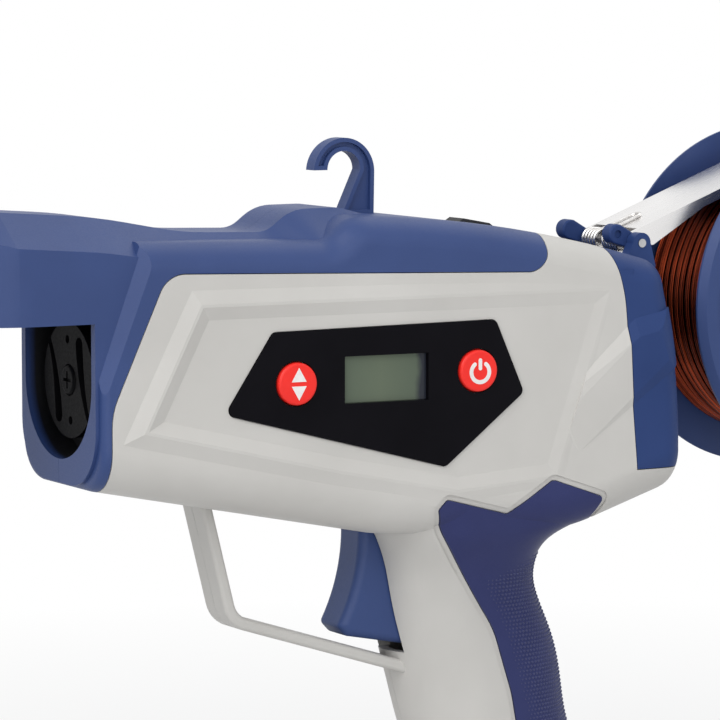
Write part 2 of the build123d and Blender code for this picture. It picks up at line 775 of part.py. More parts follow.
def sector(x, z, inner, outer, start, end):
    """Ring sector between two angles."""
    angles = (start, (start + end) / 2, end)
    outline = (ThreePointArc(*(on_circle(x, z, outer, a) for a in angles))
               + ThreePointArc(*(on_circle(x, z, inner, a) for a in angles))
               + Line(on_circle(x, z, inner, start), on_circle(x, z, outer, start))
               + Line(on_circle(x, z, inner, end), on_circle(x, z, outer, end)))
    return make_face(outline)


def guide_strip(grow=0.0):
    """Strip along the inner side of the claw."""
    spread = math.degrees(grow / JAW_RADIUS)
    face = sector(JAW_X, JAW_Z, JAW_RADIUS - grow, JAW_RADIUS + GUIDE_DEPTH + grow, GUIDE_START - spread,
                  GUIDE_END + spread)
    return slab(face, -GUIDE_HALF - grow, GUIDE_HALF + grow)


def beak_guide():
    groove = sector(JAW_X, JAW_Z, JAW_RADIUS - WALL, JAW_RADIUS + TUBE_BORE, GUIDE_START - OVERCUT,
                    GUIDE_END + OVERCUT)
    return guide_strip() - slab(groove, -TUBE_BORE, TUBE_BORE)


def covers(outer, hollow):
    """Front covers before they are halved: arm, claw, nose cup and top."""
    room = arm(WALL) & block(ROOM_FRONT_X, FAR, -FAR, FAR, -FAR, FAR)
    body = (outer + arm() + nose()) & seam_region()
    body = body - hollow - room
    body = body + (cup_lining() & block(-FAR, FAR, -FAR, FAR, -FAR, jaw_roof() + WALL)) + claw()
    body += room & block(TUBE_RIB_X, TUBE_RIB_X + WALL, -FAR, FAR, -FAR, FAR)
    body += rod_x(0, TWIST_Z, BUSH_RADIUS + WALL, cup_floor_x(), cup_floor_x() + BUSH_LENGTH)
    body += screw_bosses(COVER_SCREWS, HOUSING_BOSS_REACH) & (wide_body(BOSS_INSET) + arm(BOSS_INSET))
    body -= cup_cavity()
    body -= rod_x(0, TWIST_Z, BUSH_RADIUS + SHAFT_FIT, cup_floor_x() - OVERCUT,
                  cup_floor_x() + BUSH_LENGTH + OVERCUT)
    body -= rod_x(0, WIRE_Z, TUBE_RADIUS + SHAFT_FIT, TUBE_RIB_X - OVERCUT, FEED_X)
    body -= block(WIRE_SLOT_FRONT, WIRE_SLOT_BACK, -WIRE_SLOT_HALF, WIRE_SLOT_HALF, JAW_Z,
                  jaw_roof() + WALL + OVERCUT)
    body -= guide_strip(POCKET_GAP)
    body -= hook_tenon(POCKET_GAP) + plug_form(POCKET_GAP)
    return body - screw_holes(COVER_SCREWS)


def skin_region(grow=0.0):
    face = polygon(SKIN_POINTS, list(SKIN_CORNERS))
    return slab(offset(face, grow) if grow else face, -FAR, FAR)


def skin_core():
    return wide_body(SKIN) + grip(SKIN)


def grip_overmould():
    return ((wide_body() + grip()) & skin_region()) - skin_core()


def trigger_slot():
    half = TRIGGER_HALF + SLOT_GAP
    return slab(polygon(TRIGGER_SLOT), -half, half)


def rail_slot():
    """Slot of the foot, open to the front, that takes the battery's rail."""
    end = RAIL_BACK + RAIL_GAP
    low, high = BATTERY_TOP + RAIL_STEP - RAIL_GAP, BATTERY_TOP + 2 * RAIL_STEP + RAIL_GAP
    neck = block(-FAR, end, -RAIL_NECK - RAIL_GAP, RAIL_NECK + RAIL_GAP, BATTERY_TOP - OVERCUT, low)
    return neck + block(-FAR, end, -RAIL_HEAD - RAIL_GAP, RAIL_HEAD + RAIL_GAP, low, high)


def terminal_room(grow=0.0):
    low = BATTERY_TOP + RAIL_STEP
    front = RAIL_BACK + RAIL_GAP
    return block(front - grow, front + TERMINAL_LENGTH + grow, -TERMINAL_HALF - grow, TERMINAL_HALF + grow,
                 low - grow, low + TERMINAL_HEIGHT + grow)


def housing(outer, hollow):
    """Grey housing before it is halved: flanks, belly, grip, foot and trigger guard."""
    shaft = grip(WALL) & block(-FAR, FAR, -FAR, FAR, GRIP_FLOOR_Z, 0)
    body = outer + grip() + foot() + guard()
    body = body - seam_region(SEAM_GAP) - rear_region(SEAM_GAP) - hollow - shaft
    body += screw_bosses(HOUSING_SCREWS, HOUSING_BOSS_REACH) & (wide_body(BOSS_INSET) + grip(BOSS_INSET))
    body += screw_bosses(GRIP_SCREWS, HOUSING_BOSS_REACH) & grip(BOSS_INSET)
    for side in (-1, 1):
        y0, y1 = sorted((side * (TRIGGER_HALF + SLOT_GAP), side * (TRIGGER_PIN_HALF + WALL)))
        body += rod_y(TRIGGER_X, TRIGGER_Z, TRIGGER_HUB, y0, y1)
        y0, y1 = sorted((side * SWITCH_HALF, side * HOUSING_BOSS_REACH))
        body += rod_y(SWITCH_X, SWITCH_Z, SWITCH_BOSS, y0, y1) & grip(BOSS_INSET)
    for y, z in REAR_SCREWS:
        boss = rod_x(y, z, SCREW_RADIUS + BOSS_WALL, REAR_BOSS_X, FAR) & wide_body(BOSS_INSET)
        body += boss - rear_region(SEAM_GAP)
        body -= rod_x(y, z, SCREW_RADIUS + SHAFT_FIT, REAR_SEAT_X - REAR_SCREW_LENGTH - RUN_GAP, FAR)
    body -= cup_lining(SEAM_GAP) + trigger_slot() + rail_slot() + terminal_room(POCKET_GAP)
    body -= rod_y(TRIGGER_X, TRIGGER_Z, TRIGGER_PIN_RADIUS + SHAFT_FIT, -TRIGGER_PIN_HALF, TRIGGER_PIN_HALF)
    body -= plug_form(POCKET_GAP)
    body -= skin_region(SKIN_LEDGE) - wide_body(LEDGE_DEPTH) - grip(LEDGE_DEPTH)
    body -= skin_region(POCKET_GAP) - skin_core()
    return body - screw_holes(HOUSING_SCREWS) - screw_holes(GRIP_SCREWS)


def board_bosses(box, inset):
    """Four posts from the left flank to a board."""
    x0, x1, z0, z1 = box
    spots = [Pos(x, z) for x in (x0 + inset, x1 - inset) for z in (z0 + inset, z1 - inset)]
    return on_flank(Sketch() + [spot * Circle(BOARD_POST) for spot in spots], -BOARD_DROP, OVERCUT - WALL)


def panel_cuts():
    """Pocket of the panel and the openings behind it."""
    cuts = on_flank(offset(polygon(PANEL_POINTS, PANEL_CORNER), POCKET_GAP), PANEL_PROUD - PANEL_THICK, WALL)
    cuts += on_flank(Pos(LCD_X, LCD_Z) * lcd_back(POCKET_GAP), -2 * WALL, 0)
    for x, z in ((ADJUST_X, ADJUST_Z), (POWER_X, POWER_Z)):
        cuts += on_flank(Pos(x, z) * Circle(KEY_RADIUS + KEY_GAP), -2 * WALL, 0)
    return cuts


def rear_cover(outer, hollow):
    body = outer & rear_region()
    ear = polygon(EAR_POINTS)
    for side in (-1, 1):
        y0, y1 = sorted((side * EAR_IN, side * EAR_OUT))
        body += slab(ear, y0, y1) + rod_y(HINGE_X, HINGE_Z, EAR_RADIUS, y0, y1)
    body -= hollow
    for y, z in REAR_SCREWS:
        body += rod_x(y, z, SCREW_HEAD + BOSS_WALL, FRAME_X, FAR) & wide_body(BOSS_INSET) & rear_region()
        body -= rod_x(y, z, SCREW_RADIUS + SHAFT_FIT, FRAME_X, FAR)
        body -= rod_x(y, z, SCREW_HEAD + RUN_GAP, REAR_SEAT_X, FAR)
    for y, z in BRACKET_SCREWS:
        body += rod_x(y, z, SCREW_RADIUS + BOSS_WALL, BRACKET_SCREW_X, FAR) & wide_body(BOSS_INSET)
        body -= rod_x(y, z, SCREW_RADIUS + SHAFT_FIT, BRACKET_SCREW_X - OVERCUT, FAR)
    body -= rod_x(0, INLET_Z, INLET_RADIUS + SHAFT_FIT, BATTERY_X, FAR)
    return body - rod_y(HINGE_X, HINGE_Z, HINGE_RADIUS + SHAFT_FIT, -FAR, FAR)


# Hook and plug on the top

def hook_tenon(grow=0.0):
    return block(HOOK_FOOT[0] - grow, HOOK_FOOT[1] + grow, -HOOK_HALF - grow, HOOK_HALF + grow,
                 HOOK_TENON_Z - grow, HOOK_Z)


def hook_face():
    tip_z = HOOK_EYE[1]
    ex, ez, er = HOOK_EYE[0], HOOK_EYE[1], HOOK_EYE_RADIUS
    outer_tip = (HOOK_X - HOOK_RADIUS, tip_z)
    back = (HOOK_X + HOOK_RADIUS, HOOK_Z)
    neck = (HOOK_FOOT[0], HOOK_NECK_Z)
    outline = (ThreePointArc(outer_tip, (HOOK_X, HOOK_Z + HOOK_RADIUS), back)
               + Polyline(back, (HOOK_FOOT[1], HOOK_TENON_Z), (HOOK_FOOT[0], HOOK_TENON_Z), neck,
                          (ex + er, ez))
               + ThreePointArc((ex + er, ez), (ex, ez + er), (ex - er, ez))
               + Line((ex - er, ez), outer_tip))
    return make_face(outline)


def hanging_hook():
    body = slab(hook_face(), -HOOK_HALF, HOOK_HALF)
    dish = offset(hook_face(), -HOOK_RIB) & Pos(HOOK_X, HOOK_DISH_Z + FAR / 2) * Rectangle(FAR, FAR)
    for side in (-1, 1):
        y0, y1 = sorted((side * (HOOK_HALF - HOOK_RECESS), side * FAR))
        body -= slab(dish, y0, y1)
    return body


def plug_form(grow=0.0):
    low = PLUG_TOP[-1][1] - PLUG_DEPTH
    face = polygon(((PLUG_TOP[0][0], PLUG_TOP[0][1] - PLUG_DEPTH),) + PLUG_TOP + ((PLUG_TOP[-1][0], low),))
    return slab(offset(face, grow) if grow else face, -PLUG_HALF - grow, PLUG_HALF + grow)


# Control panel

def lcd_back(grow=0.0):
    border = 2 * (LCD_BORDER + grow)
    return Rectangle(LCD_LENGTH + border, LCD_HEIGHT + border)


def control_panel():
    face = polygon(PANEL_POINTS, PANEL_CORNER) - Pos(LCD_X, LCD_Z) * Rectangle(LCD_LENGTH, LCD_HEIGHT)
    for x, z in ((ADJUST_X, ADJUST_Z), (POWER_X, POWER_Z)):
        face -= Pos(x, z) * Circle(KEY_RADIUS + KEY_GAP)
    return on_flank(face, PANEL_PROUD - PANEL_THICK, PANEL_PROUD)


def lcd_display():
    low = PANEL_PROUD - PANEL_THICK
    glass = Rectangle(LCD_LENGTH - 2 * POCKET_GAP, LCD_HEIGHT - 2 * POCKET_GAP)
    body = on_flank(Pos(LCD_X, LCD_Z) * glass, low - OVERCUT, -LCD_SUNK)
    return body + on_flank(Pos(LCD_X, LCD_Z) * lcd_back(), -BOARD_DROP, low)


def key(x, z):
    cap = on_flank(Pos(x, z) * Circle(KEY_RADIUS), -KEY_DROP, KEY_PROUD)
    cap = fillet(cap.faces().sort_by(Axis.Y)[0].edges(), KEY_EDGE)
    flange = Pos(x, z) * Circle(KEY_RADIUS + KEY_GAP + KEY_FLANGE)
    return cap + on_flank(flange, -KEY_DROP - KEY_FLANGE, -KEY_DROP)


def rock_pivot(grow=0.0):
    """Pivot of the adjust key along the flank."""
    bar = Rot(0, 90, 0) * Cylinder(ROCK_PIVOT + grow, 2 * (ROCK_PIVOT_REACH + grow))
    return LEFT * Pos(ADJUST_X, ADJUST_Z, -ROCK_PIVOT_DROP) * bar


def rock_slot():
    """Slot in the left wall, open to the inside, that takes the pivot of the adjust key."""
    groove = Rectangle(2 * (ROCK_PIVOT_REACH + RUN_GAP), 2 * (ROCK_PIVOT + POCKET_GAP))
    return rock_pivot(POCKET_GAP) + on_flank(Pos(ADJUST_X, ADJUST_Z) * groove, -2 * WALL, -ROCK_PIVOT_DROP)


def rect(box):
    x0, x1, z0, z1 = box
    return Pos((x0 + x1) / 2, (z0 + z1) / 2) * Rectangle(x1 - x0, z1 - z0)


def board(box):
    return on_flank(rect(box), -BOARD_DROP - BOARD_THICK, -BOARD_DROP)


def key_switches():
    spots = ((POWER_X, POWER_Z), (ADJUST_X, ADJUST_Z - ROCK_SPACING), (ADJUST_X, ADJUST_Z + ROCK_SPACING))
    side = Rectangle(SWITCH_SIDE, SWITCH_SIDE)
    high = SWITCH_RISE - BOARD_DROP
    return Compound(children=[on_flank(Pos(x, z) * side, -BOARD_DROP, high) for x, z in spots])


def drive_board():
    body = board(DRIVE_BOX)
    for x in DRIVE_PARTS_X:
        body += on_flank(Pos(x, (DRIVE_BOX[2] + DRIVE_BOX[3]) / 2) * Rectangle(DRIVE_PART, DRIVE_PART),
                         -BOARD_DROP, DRIVE_PART_RISE - BOARD_DROP)
    return mirrored(body)


# Trigger group

def trigger():
    toe, heel, chin = TRIGGER_TOE, TRIGGER_HEEL, TRIGGER_CHIN
    outline = (Line((TRIGGER_FRONT[0], TRIGGER_Z), TRIGGER_FRONT)
               + ThreePointArc(TRIGGER_FRONT, TRIGGER_HOLLOW, toe)
               + Polyline(toe, chin, heel, *TRIGGER_REAR, (TRIGGER_FRONT[0], TRIGGER_Z)))
    face = rounded(outline, [(toe, TRIGGER_TOE_RADIUS), (chin, TRIGGER_CORNER), (heel, TRIGGER_CORNER)])
    blade = slab(face, -TRIGGER_HALF, TRIGGER_HALF)
    front = [e for s in (0, -1) for e in blade.faces().sort_by(Axis.Y)[s].edges()
             if e.center().X < 0 and e.center().Z < TRIGGER_FRONT[1]]
    blade = fillet(front, TRIGGER_EDGE)
    blade += rod_y(TRIGGER_X, TRIGGER_Z, TRIGGER_HUB, -TRIGGER_HALF, TRIGGER_HALF)
    return blade - rod_y(TRIGGER_X, TRIGGER_Z, TRIGGER_PIN_RADIUS + SHAFT_FIT, -FAR, FAR)


def trigger_pin():
    end = TRIGGER_PIN_HALF - POCKET_GAP
    return rod_y(TRIGGER_X, TRIGGER_Z, TRIGGER_PIN_RADIUS, -end, end)


def trigger_switch():
    x0, x1, z0, z1 = SWITCH_BOX
    half = SWITCH_HALF - POCKET_GAP
    body = block(x0, x1, -half, half, z0, z1)
    return body + rod_x(0, (z0 + z1) / 2, SWITCH_BOSS, x0 - SWITCH_PLUNGER, x0)


# Twisting drive

def across(face, x0, x1, z=TWIST_Z):
    """Extrude an outline of the YZ plane, drawn about the height z, from x0 to x1."""
    return extrude(Plane(origin=(x0, 0, z), x_dir=(0, 1, 0), z_dir=(1, 0, 0)) * face, x1 - x0)


def pitch_radius(teeth):
    return GEAR_MODULE * teeth / 2


def pinion_z():
    return TWIST_Z - pitch_radius(GEAR_TEETH) - pitch_radius(PINION_TEETH) - GEAR_PLAY


def toothed(teeth, turn):
    """Outline of a wheel with straight-sided teeth, the first one at the angle turn."""
    pitch = pitch_radius(teeth)
    root, tip = pitch - GEAR_ROOT * GEAR_MODULE, pitch + GEAR_TIP * GEAR_MODULE
    middle = math.pi * GEAR_MODULE / 4 - GEAR_BACKLASH / 2
    slope = math.tan(math.radians(GEAR_FLANK))
    wide, narrow = middle + (pitch - root) * slope, middle - (tip - pitch) * slope
    foot_x = root - OVERCUT
    tooth = polygon(((foot_x, -wide), (root, -wide), (tip, -narrow), (tip, narrow), (root, wide),
                     (foot_x, wide)))
    face = Sketch() + Circle(root)
    return face + [Rot(0, 0, turn + i * 360 / teeth) * tooth for i in range(teeth)]


def head_slot():
    """Hook slot of the head, round at its inner end and open at the rim."""
    spots = [Vector(y, z) for y, z, half in HEAD_SLOT]
    inner, outer = [], []
    for i, (y, z, half) in enumerate(HEAD_SLOT):
        along = (spots[min(i + 1, len(spots) - 1)] - spots[max(i - 1, 0)]).normalized()
        side = Vector(-along.Y, along.X) * half
        inner.append(spots[i] + side)
        outer.append(spots[i] - side)
    outline = (Spline(*inner) + Line(inner[-1], outer[-1]) + Spline(*reversed(outer))
               + Line(outer[0], inner[0]))
    return make_face(outline) + Pos(*HEAD_SLOT[0][:2]) * Circle(HEAD_SLOT[0][2])


def twist_head():
    face = Sketch() + Circle(HEAD_RADIUS)
    for turn in (0, 180):
        face -= Rot(0, 0, turn) * head_slot()
        face -= Rot(0, 0, turn) * Pos(*HEAD_HOLE_SPOT) * Circle(HEAD_HOLE)
    body = across(face, HEAD_X, HEAD_X + HEAD_THICK)
    body -= rod_x(0, TWIST_Z, HEAD_SCREW_RADIUS + SHAFT_FIT, HEAD_X - OVERCUT, 0)
    return body - rod_x(0, TWIST_Z, HEAD_SCREW_HEAD + POCKET_GAP, HEAD_X - OVERCUT, HEAD_X + HEAD_SCREW_SUNK)


def head_screw():
    seat = HEAD_X + HEAD_SCREW_SUNK
    cap = rod_x(0, TWIST_Z, HEAD_SCREW_HEAD, seat - HEAD_SCREW_RISE, seat)
    cap = fillet(cap.faces().sort_by(Axis.X)[0].edges(), HEAD_SCREW_RISE / 2)
    cross = Rectangle(2 * HEAD_CROSS, HEAD_CROSS_WIDTH) + Rectangle(HEAD_CROSS_WIDTH, 2 * HEAD_CROSS)
    cap -= across(cross, seat - FAR, seat - HEAD_SCREW_RISE + HEAD_CROSS_DEPTH)
    return cap + rod_x(0, TWIST_Z, HEAD_SCREW_RADIUS, seat, HEAD_X + HEAD_THICK + HEAD_SCREW_GRIP)


def twist_shaft():
    front = HEAD_X + HEAD_THICK
    body = rod_x(0, TWIST_Z, SHAFT_RADIUS, front, SHAFT_BACK)
    return body - rod_x(0, TWIST_Z, HEAD_SCREW_RADIUS + SHAFT_FIT, front, front + HEAD_SCREW_GRIP + OVERCUT)


def bush(x0):
    return across(Circle(BUSH_RADIUS) - Circle(SHAFT_RADIUS + SHAFT_FIT), x0, x0 + BUSH_LENGTH)


def rear_bush_x():
    return FRAME_X + (FRAME_THICK - BUSH_LENGTH) / 2


def twist_gear():
    body = across(toothed(GEAR_TEETH, -90), GEAR_X, GEAR_X + GEAR_WIDTH)
    return body - rod_x(0, TWIST_Z, SHAFT_RADIUS + SHAFT_FIT, -FAR, FAR)


def motor_pinion():
    turn = 90 + 180 / PINION_TEETH
    body = across(toothed(PINION_TEETH, turn), GEAR_X, GEAR_X + GEAR_WIDTH, pinion_z())
    return body + rod_x(0, pinion_z(), MOTOR_SHAFT, GEAR_X, FRAME_X + FRAME_THICK + MOTOR_BEARING)


def gear_frame():
    body = wide_body(WALL + RUN_GAP) & block(FRAME_X, FRAME_X + FRAME_THICK, -FAR, FAR, -FAR, FAR)
    body -= rod_x(0, TWIST_Z, BUSH_RADIUS + SHAFT_FIT, -FAR, FAR)
    body -= rod_x(0, WIRE_Z, TUBE_RADIUS + SHAFT_FIT, -FAR, FAR)
    return body - rod_x(0, pinion_z(), MOTOR_SHAFT + RUN_GAP, -FAR, FAR)


def twist_motor():
    x0 = FRAME_X + FRAME_THICK
    body = rod_x(0, pinion_z(), MOTOR_RADIUS, x0, x0 + MOTOR_LENGTH)
    body = fillet(body.faces().sort_by(Axis.X)[-1].edges(), MOTOR_EDGE)
    body += rod_x(0, pinion_z(), MOTOR_RADIUS / 3, x0 + MOTOR_LENGTH, x0 + MOTOR_LENGTH + MOTOR_BOSS)
    return body - rod_x(0, pinion_z(), MOTOR_SHAFT + SHAFT_FIT, x0, x0 + MOTOR_BEARING + OVERCUT)


# Wire feed

def feed_z():
    return WIRE_Z - WIRE_RADIUS - FEED_RADIUS


def pinch_z():
    return WIRE_Z + WIRE_RADIUS + PINCH_RADIUS


def front_guide_tube():
    face = Circle(TUBE_RADIUS) - Circle(TUBE_BORE)
    return across(face, TUBE_RIB_X, FEED_X - TUBE_STOP, WIRE_Z)


def rear_guide_tube():
    start = (FEED_X + TUBE_STOP, WIRE_Z)
    path = Plane.XZ * FilletPolyline(start, *TUBE_BENDS, (INLET_INNER_X - RUN_GAP, INLET_Z), radius=TUBE_BEND)
    section = Plane(origin=(start[0], 0, start[1]), x_dir=(0, 1, 0), z_dir=(1, 0, 0))
    return sweep(section * (Circle(TUBE_RADIUS) - Circle(TUBE_BORE)), path=path)


def cutter_blade():
    body = block(TUBE_RIB_X - CUTTER_THICK - POCKET_GAP, TUBE_RIB_X - POCKET_GAP, -CUTTER_HALF, CUTTER_HALF,
                 jaw_roof() + WALL, jaw_roof() + WALL + CUTTER_HEIGHT)
    return body - rod_x(0, WIRE_Z, WIRE_RADIUS + RUN_GAP, -FAR, 0)


def wire_inlet(outer):
    flange = rod_x(0, INLET_Z, INLET_FLANGE, REAR_LOW[0] - WALL, INLET_END_X) - outer
    body = rod_x(0, INLET_Z, INLET_RADIUS, INLET_INNER_X, INLET_END_X)
    body += max(flange.solids(), key=lambda s: s.center().X)
    cone = Pos(INLET_END_X, 0, INLET_Z) * Rot(0, 90, 0) * Cone(TUBE_BORE, INLET_RADIUS, 2 * INLET_RADIUS)
    return body - rod_x(0, INLET_Z, TUBE_BORE, 0, FAR) - cone


def feed_motor():
    end = half_at(FEED_X - FEED_MOTOR_RADIUS) - WALL - RUN_GAP
    back = FEED_PLATE_Y + FEED_PLATE_THICK
    body = slab(rect(FEED_PLATE_BOX), FEED_PLATE_Y, back)
    body += rod_y(FEED_X, feed_z(), FEED_MOTOR_RADIUS, back, end)
    body -= rod_y(PIVOT_X, PIVOT_Z, PIVOT_RADIUS + SHAFT_FIT, 0, FAR)
    return body - rod_y(FEED_X, feed_z(), FEED_SHAFT + SHAFT_FIT, 0, back + 2 * FEED_SHAFT)


def feed_roller():
    body = rod_y(FEED_X, feed_z(), FEED_RADIUS, -FEED_HALF, FEED_HALF)
    body = chamfer(body.edges().filter_by(GeomType.CIRCLE), ROLLER_EDGE)
    end = FEED_PLATE_Y + FEED_PLATE_THICK + FEED_SHAFT
    return body + rod_y(FEED_X, feed_z(), FEED_SHAFT, -FEED_HALF, end)


def pinch_roller():
    body = rod_y(FEED_X, pinch_z(), PINCH_RADIUS, -FEED_HALF, FEED_HALF)
    body = chamfer(body.edges().filter_by(GeomType.CIRCLE), ROLLER_EDGE)
    return body - rod_y(FEED_X, pinch_z(), PINCH_PIN_RADIUS + SHAFT_FIT, -FAR, FAR)


def pinch_lever():
    y1 = -FEED_HALF - RUN_GAP
    y0 = y1 - LEVER_THICK
    width = PIVOT_RADIUS + LEVER_WALL
    ends = [Pos(FEED_X, pinch_z()) * Circle(LEVER_TIP), Pos(PIVOT_X, PIVOT_Z) * Circle(width)]
    bar = make_hull([end.edge() for end in ends])
    body = slab(bar, y0, y1) + rod_y(FEED_X, pinch_z(), PINCH_PIN_RADIUS, y0, FEED_HALF)
    body += rod_y(PIVOT_X, PIVOT_Z, width, y0, FEED_PLATE_Y - RUN_GAP)
    return body - rod_y(PIVOT_X, PIVOT_Z, PIVOT_RADIUS + SHAFT_FIT, -FAR, FAR)


def pinch_pin():
    y0 = -FEED_HALF - RUN_GAP - LEVER_THICK
    y1 = FEED_PLATE_Y + FEED_PLATE_THICK
    cap = rod_y(PIVOT_X, PIVOT_Z, PIVOT_RADIUS + PIVOT_CAP, y0 - RUN_GAP - PIVOT_CAP, y0 - RUN_GAP)
    return cap + rod_y(PIVOT_X, PIVOT_Z, PIVOT_RADIUS, y0 - RUN_GAP, y1)


# Brake arm, drawn along its own line from the hinge

BRAKE = Pos(HINGE_X, 0, HINGE_Z) * Rot(0, -BRAKE_TILT, 0)


def lug_face(grow=0.0):
    """Forward lug of the side walls, that carries a thumb cap."""
    x, z = CAP_SPOT
    ends = [(Pos(x, z) * Circle(LUG_RADIUS + grow)).edge(), Circle(LUG_ROOT + grow).edge()]
    return make_hull(ends)


def brake_arm():
    low, high = BRAKE_RISE - BRAKE_SHEET, BRAKE_RISE
    bend, tip, rise = BRAKE_LENGTH - BRAKE_TIP, BRAKE_LENGTH, BRAKE_TIP_RISE
    plate = polygon(((BRAKE_START, low), (bend, low), (tip, low + rise), (tip - BRAKE_SHEET, high + rise),
                     (bend - BRAKE_SHEET / 2, high), (BRAKE_START, high)),
                    [0, BRAKE_BEND, 0, 0, BRAKE_BEND - BRAKE_SHEET, 0])
    body = slab(plate, -BRAKE_HALF, BRAKE_HALF)
    wall = polygon(((-LUG_RADIUS, 0), (0, high), (bend, high), (bend, BRAKE_WALL_LOW),
                    (BRAKE_TAPER_END, BRAKE_WALL_LOW), BRAKE_HEEL))
    for side in (-1, 1):
        y0, y1 = sorted((side * (BRAKE_HALF - BRAKE_SHEET), side * BRAKE_HALF))
        body += slab(wall, y0, y1) + slab(lug_face(), y0, y1)
    return BRAKE * (body - rod_y(0, 0, HINGE_RADIUS + SHAFT_FIT, -FAR, FAR))


def thumb_cap(side):
    x, z = CAP_SPOT
    y0, y1 = sorted((side * CAP_IN, side * CAP_OUT))
    drop = make_hull([(Pos(x, z) * Circle(CAP_RADIUS)).edge(), Circle(CAP_ROOT).edge()])
    cap = slab(drop, y0, y1)
    cap = fillet(cap.faces().sort_by(Axis.Y)[0].edges() + cap.faces().sort_by(Axis.Y)[-1].edges(), CAP_EDGE)
    dimple = side * (CAP_OUT - CAP_DIMPLE_DEPTH)
    cap -= rod_y(x, z, CAP_DIMPLE, *sorted((dimple, side * FAR)))
    cap -= rod_y(0, 0, HINGE_RADIUS + RUN_GAP, -FAR, FAR)
    y0, y1 = sorted((side * (BRAKE_HALF - BRAKE_SHEET - SHAFT_FIT), side * (BRAKE_HALF + SHAFT_FIT)))
    return BRAKE * (cap - slab(lug_face(SHAFT_FIT), y0, y1))


def hinge_pin():
    return rod_y(HINGE_X, HINGE_Z, HINGE_RADIUS, -HINGE_PIN_HALF, HINGE_PIN_HALF)


# Wound pieces

def biarc(p0, t0, p1, t1):
    """Two arcs from p0 to p1 that leave along t0 and arrive along t1."""
    v, t = p1 - p0, t0 + t1
    a, b, c = 2 * (t0.dot(t1) - 1), -2 * v.dot(t), v.dot(v)
    d = -c / b if abs(a) < 1e-6 else (-b - math.sqrt(b * b - 4 * a * c)) / (2 * a)
    q0, q1 = p0 + t0 * d, p1 - t1 * d
    joint = (q0 + q1) * 0.5
    return [TangentArc(p0, joint, tangent=t0), TangentArc(joint, p1, tangent=q1 - q0)]


def coil(centre, radius, pitch, start, turns, step):
    """Arcs of a coil about a Y axis that begins and ends level, with its end points and headings."""
    count = round(turns * 360 / step)
    points, headings = [], []
    for i in range(count + 1):
        angle = math.radians(start + i * step)
        rise = pitch / (2 * math.pi) if 0 < i < count else 0
        points.append(Vector(centre[0] + radius * math.cos(angle), centre[1] + pitch * i * step / 360,
                             centre[2] + radius * math.sin(angle)))
        headings.append(Vector(-radius * math.sin(angle), rise, radius * math.cos(angle)).normalized())
    edges = []
    for i in range(count):
        edges += biarc(points[i], headings[i], points[i + 1], headings[i + 1])
    return edges, points, headings


def least_gap(path, radius, turn_length):
    """Least free distance between neighbouring turns, on points along the path."""
    count = round(360 * path.length / turn_length)
    points = [path.position_at(i / count) for i in range(count + 1)]
    near = [(points[i] - points[j]).length for i in range(len(points))
            for j in range(i + 345, min(i + 375, len(points)))]
    return min(near) - 2 * radius


def wire_outer_layer():
    radius = WINDING_RADIUS - WIRE_RADIUS
    start_y = -CORE_HALF + WIRE_RADIUS + RUN_GAP
    pitch = -2 * start_y / WIND_LOOPS
    edges, points, headings = coil((SPOOL_X, start_y, SPOOL_Z), radius, pitch, 0, WIND_LOOPS, 180)
    first = Line(points[0] - headings[0] * 2 * WIRE_RADIUS, points[0])
    last = Line(points[-1], points[-1] + headings[-1] * 2 * WIRE_RADIUS)
    path = Wire([first] + edges + [last])
    print("winding: least gap between turns", round(least_gap(path, WIRE_RADIUS, 2 * math.pi * radius), 3))
    return sweep(Plane(origin=path @ 0, z_dir=path % 0) * RegularPolygon(WIRE_RADIUS, WIRE_SIDES), path=path)


def spring_side(side):
    """Straight, coil and leg of the spring on one side, in the frame of the brake arm."""
    edges, points, headings = coil((0, side * SPRING_START, 0), SPRING_RADIUS, side * SPRING_PITCH, 90,
                                   SPRING_TURNS, 90)
    loop = Vector(SPRING_LOOP, side * SPRING_START, SPRING_RADIUS)
    return [Line(loop, points[0])] + edges + [Line(points[-1], points[-1] + headings[-1] * SPRING_LEG)]


def brake_spring():
    left, right = spring_side(-1), spring_side(1)
    gap = least_gap(Wire(left), SPRING_WIRE, 2 * math.pi * SPRING_RADIUS)
    print("brake spring: least gap between turns", round(gap, 3))
    bow = ThreePointArc(left[0] @ 0, (SPRING_LOOP + SPRING_START, 0, SPRING_RADIUS), right[0] @ 0)
    path = Wire(left + [bow] + right)
    section = Plane(origin=path @ 0, z_dir=path % 0) * RegularPolygon(SPRING_WIRE, SPRING_SIDES)
    return BRAKE * sweep(section, path=path)


# Spool and its carrier

def spool_half(side):
    y0, y1 = sorted((side * (SPOOL_HALF - FLANGE_THICK), side * SPOOL_HALF))
    flange = rod_y(SPOOL_X, SPOOL_Z, SPOOL_RADIUS, y0, y1)
    rims = flange.edges().filter_by(GeomType.CIRCLE).sort_by(Axis.Y)
    flange = chamfer(rims[0 if side < 0 else -1], FLANGE_BEVEL)
    dish = rod_y(SPOOL_X, SPOOL_Z, DISH_OUTER, y0, y1) - rod_y(SPOOL_X, SPOOL_Z, DISH_INNER, y0, y1)
    flange -= Pos(0, side * (FLANGE_THICK - DISH_DEPTH), 0) * dish
    y0, y1 = sorted((side * HALF_GAP, side * SPOOL_HALF))
    flange += rod_y(SPOOL_X, SPOOL_Z, HUB_RADIUS, y0, y1)
    return flange - rod_y(SPOOL_X, SPOOL_Z, AXLE_RADIUS + SHAFT_FIT, -FAR, FAR)


def wire_core():
    body = rod_y(SPOOL_X, SPOOL_Z, WINDING_RADIUS - 2 * WIRE_RADIUS - POCKET_GAP, -CORE_HALF, CORE_HALF)
    return body - rod_y(SPOOL_X, SPOOL_Z, HUB_RADIUS + POCKET_GAP, -FAR, FAR)


